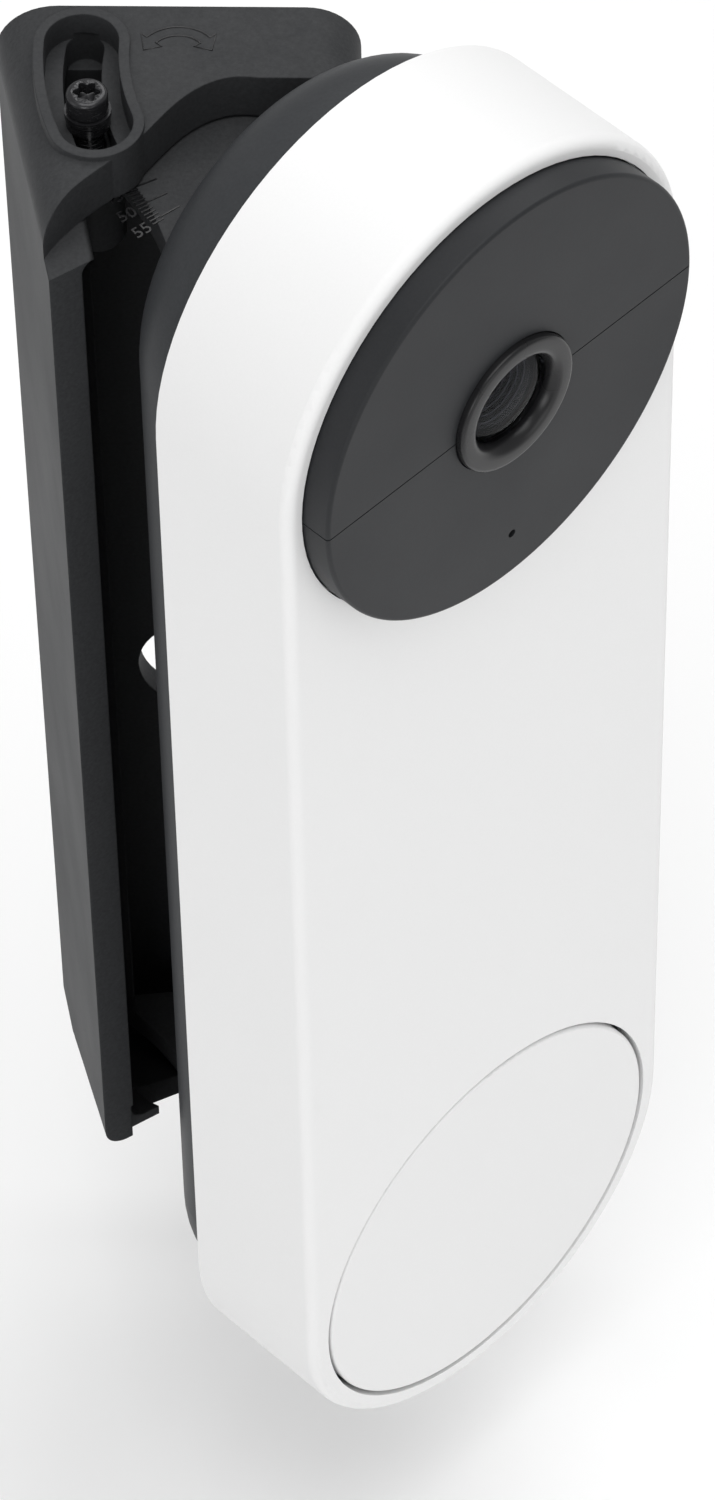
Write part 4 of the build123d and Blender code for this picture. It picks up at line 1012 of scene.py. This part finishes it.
@dataclass
class ClampScrew:
    """Black clamp screw with a six-lobe drive and a rolled thread."""

    paint: Paintbox
    head_radius: float = 1.75 * MM
    head_height: float = 2.0 * MM
    shaft: float = 1.2 * MM
    recess: float = 1.1 * MM
    lobe_mean: float = 0.98 * MM
    lobe_wave: float = 0.17 * MM
    lobe_lead: float = 0.12 * MM
    head_round: float = 0.45 * MM
    thread_pitch: float = 0.5 * MM
    thread_bead: float = 0.09 * MM
    steps: int = 96

    def centre(self) -> tuple[Vector, float, float]:
        """Axis of the screw and its lowest and highest point."""
        low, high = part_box("clamp_screw")
        return Vector(((low.x + high.x) / 2, (low.y + high.y) / 2, 0.0)), low.z, high.z

    def ring(self, height: float, radius: float, lobed: bool = False) -> list[tuple[float, float, float]]:
        """One ring of points, round or six-lobed."""
        points = []
        for i in range(self.steps):
            angle = 2 * math.pi * i / self.steps
            reach = radius * (1 + self.lobe_wave / self.lobe_mean * math.cos(6 * angle)) if lobed else radius
            points.append((reach * math.cos(angle), reach * math.sin(angle), height))
        return points

    def build(self) -> None:
        """Builds the screw's body and the rings of its thread."""
        centre, low, high = self.centre()
        neck = high - self.head_height
        r, soft = self.head_radius, self.head_round
        rings = [self.ring(low, self.shaft * 0.7), self.ring(low + 0.4 * MM, self.shaft)]
        rings += [self.ring(neck, self.shaft), self.ring(neck, r - 0.12 * MM), self.ring(neck + 0.12 * MM, r)]
        for i in range(7):
            angle = math.radians(90.0 * i / 6)
            rings.append(self.ring(high - soft + soft * math.sin(angle), r - soft + soft * math.cos(angle)))
        rings += [self.ring(high, self.lobe_mean + self.lobe_lead, True),
                  self.ring(high - 0.06 * MM, self.lobe_mean, True)]
        rings += [self.ring(high - self.recess, self.lobe_mean * 0.96, True),
                  self.ring(high - self.recess - 0.05 * MM, self.lobe_mean * 0.85, True)]
        verts = [point for ring in rings for point in ring]
        faces = []
        for level in range(len(rings) - 1):
            for i in range(self.steps):
                j = (i + 1) % self.steps
                a, b = level * self.steps, (level + 1) * self.steps
                faces.append((a + i, a + j, b + j, b + i))
        faces.append(tuple(range(self.steps))[::-1])
        faces.append(tuple((len(rings) - 1) * self.steps + i for i in range(self.steps)))
        piece = mesh_object("clamp_screw_body", verts, faces, Matrix.Translation(centre), smooth=35.0)
        finish_piece(piece, self.paint.of(Slot.BLACK_STEEL), Body.SCREW, ["clamp_screw"])
        start = Matrix.Translation(centre + UP * (low + 0.6 * MM))
        count = int((neck - low - 2.0 * MM) / self.thread_pitch)
        thread = ring_repeater().run("clamp_screw_thread", start, Count=count, Radius=self.shaft - 0.02 * MM,
                                     Growth=0.0, Pitch=self.thread_pitch, Bead=self.thread_bead,
                                     Material=self.paint.of(Slot.BLACK_STEEL))
        finish_piece(thread, self.paint.of(Slot.BLACK_STEEL), Body.SCREW)


# ---- studio


@dataclass(frozen=True)
class Softbox:
    """One square area light that points at a target."""

    name: str
    place: tuple[float, float, float]
    target: tuple[float, float, float]
    size: float
    power: float

    def build(self) -> None:
        """Adds the light."""
        data = bpy.data.lights.new(self.name, "AREA")
        data.shape = "SQUARE"
        data.size = self.size
        data.energy = self.power
        light = bpy.data.objects.new(self.name, data)
        light.location = self.place
        aim = Vector(self.target) - Vector(self.place)
        light.rotation_euler = aim.to_track_quat("-Z", "Y").to_euler()
        bpy.context.scene.collection.objects.link(light)


@dataclass
class Studio:
    """Pale floor, soft lights and the camera."""

    eye: tuple[float, float, float] = (31.31 * MM, -439.94 * MM, 504.47 * MM)
    forward: tuple[float, float, float] = (-0.025511, 0.635965, -0.771296)
    right: tuple[float, float, float] = (0.999631, 0.023377, -0.013788)
    lens: float = 178.98
    floor_drop: float = 17.0 * MM
    floor_size: float = 3.0
    floor_tone: float = 0.95
    sensor: float = 36.0
    nearest: float = 0.01
    surround: float = 0.5
    softboxes: tuple[Softbox, ...] = (
        Softbox("overhead", (0.02, -0.12, 0.75), (0.02, -0.02, 0.0), 0.6, 2.75),
        Softbox("left_fill", (-0.75, -0.3, 0.3), (0.0, -0.02, 0.0), 0.5, 0.5),
        Softbox("front_fill", (-0.22, -0.9, 0.3), (0.0, -0.02, 0.0), 0.4, 1.5),
        Softbox("right_fill", (0.55, -0.6, 0.15), (0.02, -0.03, 0.0), 0.5, 1.0),
        Softbox("rear_glow", (0.2, 0.5, 0.62), (0.0, 0.0, 0.06), 0.5, 2.0),
    )

    def build(self) -> None:
        """Builds the camera, the floor and the lights."""
        self.camera()
        self.floor()
        self.lights()

    def camera(self) -> None:
        """Long lens that looks down at the doorbell from its left."""
        data = bpy.data.cameras.new("view")
        data.lens = self.lens
        data.sensor_width = self.sensor
        data.clip_start = self.nearest
        data.dof.use_dof = False
        camera = bpy.data.objects.new("view", data)
        back = -Vector(self.forward).normalized()
        side = Vector(self.right).normalized()
        upward = back.cross(side).normalized()
        side = upward.cross(back)
        rows = [(side[i], upward[i], back[i], self.eye[i]) for i in range(3)]
        camera.matrix_world = Matrix((*rows, (0.0, 0.0, 0.0, 1.0)))
        bpy.context.scene.collection.objects.link(camera)
        bpy.context.scene.camera = camera

    def floor(self) -> None:
        """Seamless white floor a little below the doorbell."""
        level = CAD_BOX[0][2] - self.floor_drop
        half = self.floor_size / 2
        corners = [(-half, -half, level), (half, -half, level), (half, half, level), (-half, half, level)]
        floor = mesh_object("floor", corners, [(0, 1, 2, 3)])
        material = bpy.data.materials.new("floor_white")
        material.use_nodes = True
        shader = material.node_tree.nodes["Principled BSDF"]
        shader.inputs["Base Color"].default_value = rgba((self.floor_tone,) * 3)
        shader.inputs["Roughness"].default_value = 0.9
        shader.inputs["Specular IOR Level"].default_value = 0.1
        floor.data.materials.append(material)

    def lights(self) -> None:
        """Overhead and rear softboxes, three fills and an even white surround."""
        world = bpy.data.worlds.new("surround")
        world.use_nodes = True
        backdrop = world.node_tree.nodes["Background"]
        backdrop.inputs["Color"].default_value = rgba((1.0, 1.0, 1.0))
        backdrop.inputs["Strength"].default_value = self.surround
        bpy.context.scene.world = world
        for softbox in self.softboxes:
            softbox.build()


def main() -> None:
    """Builds the studio, the finishes and every sub-assembly in order."""
    logging.basicConfig(level=logging.INFO, format="%(name)s %(message)s")
    bpy.context.scene.view_settings.view_transform = "Standard"
    Studio().build()
    paint = Paintbox(Palette())
    paint.dress_cad()
    bell = BellFrame.from_record()
    CameraModule(bell, paint).build()
    BellMark(bell, paint).build()
    AngleMount(paint).build()
    ClampScrew(paint).build()


if __name__ == "__main__":
    main()
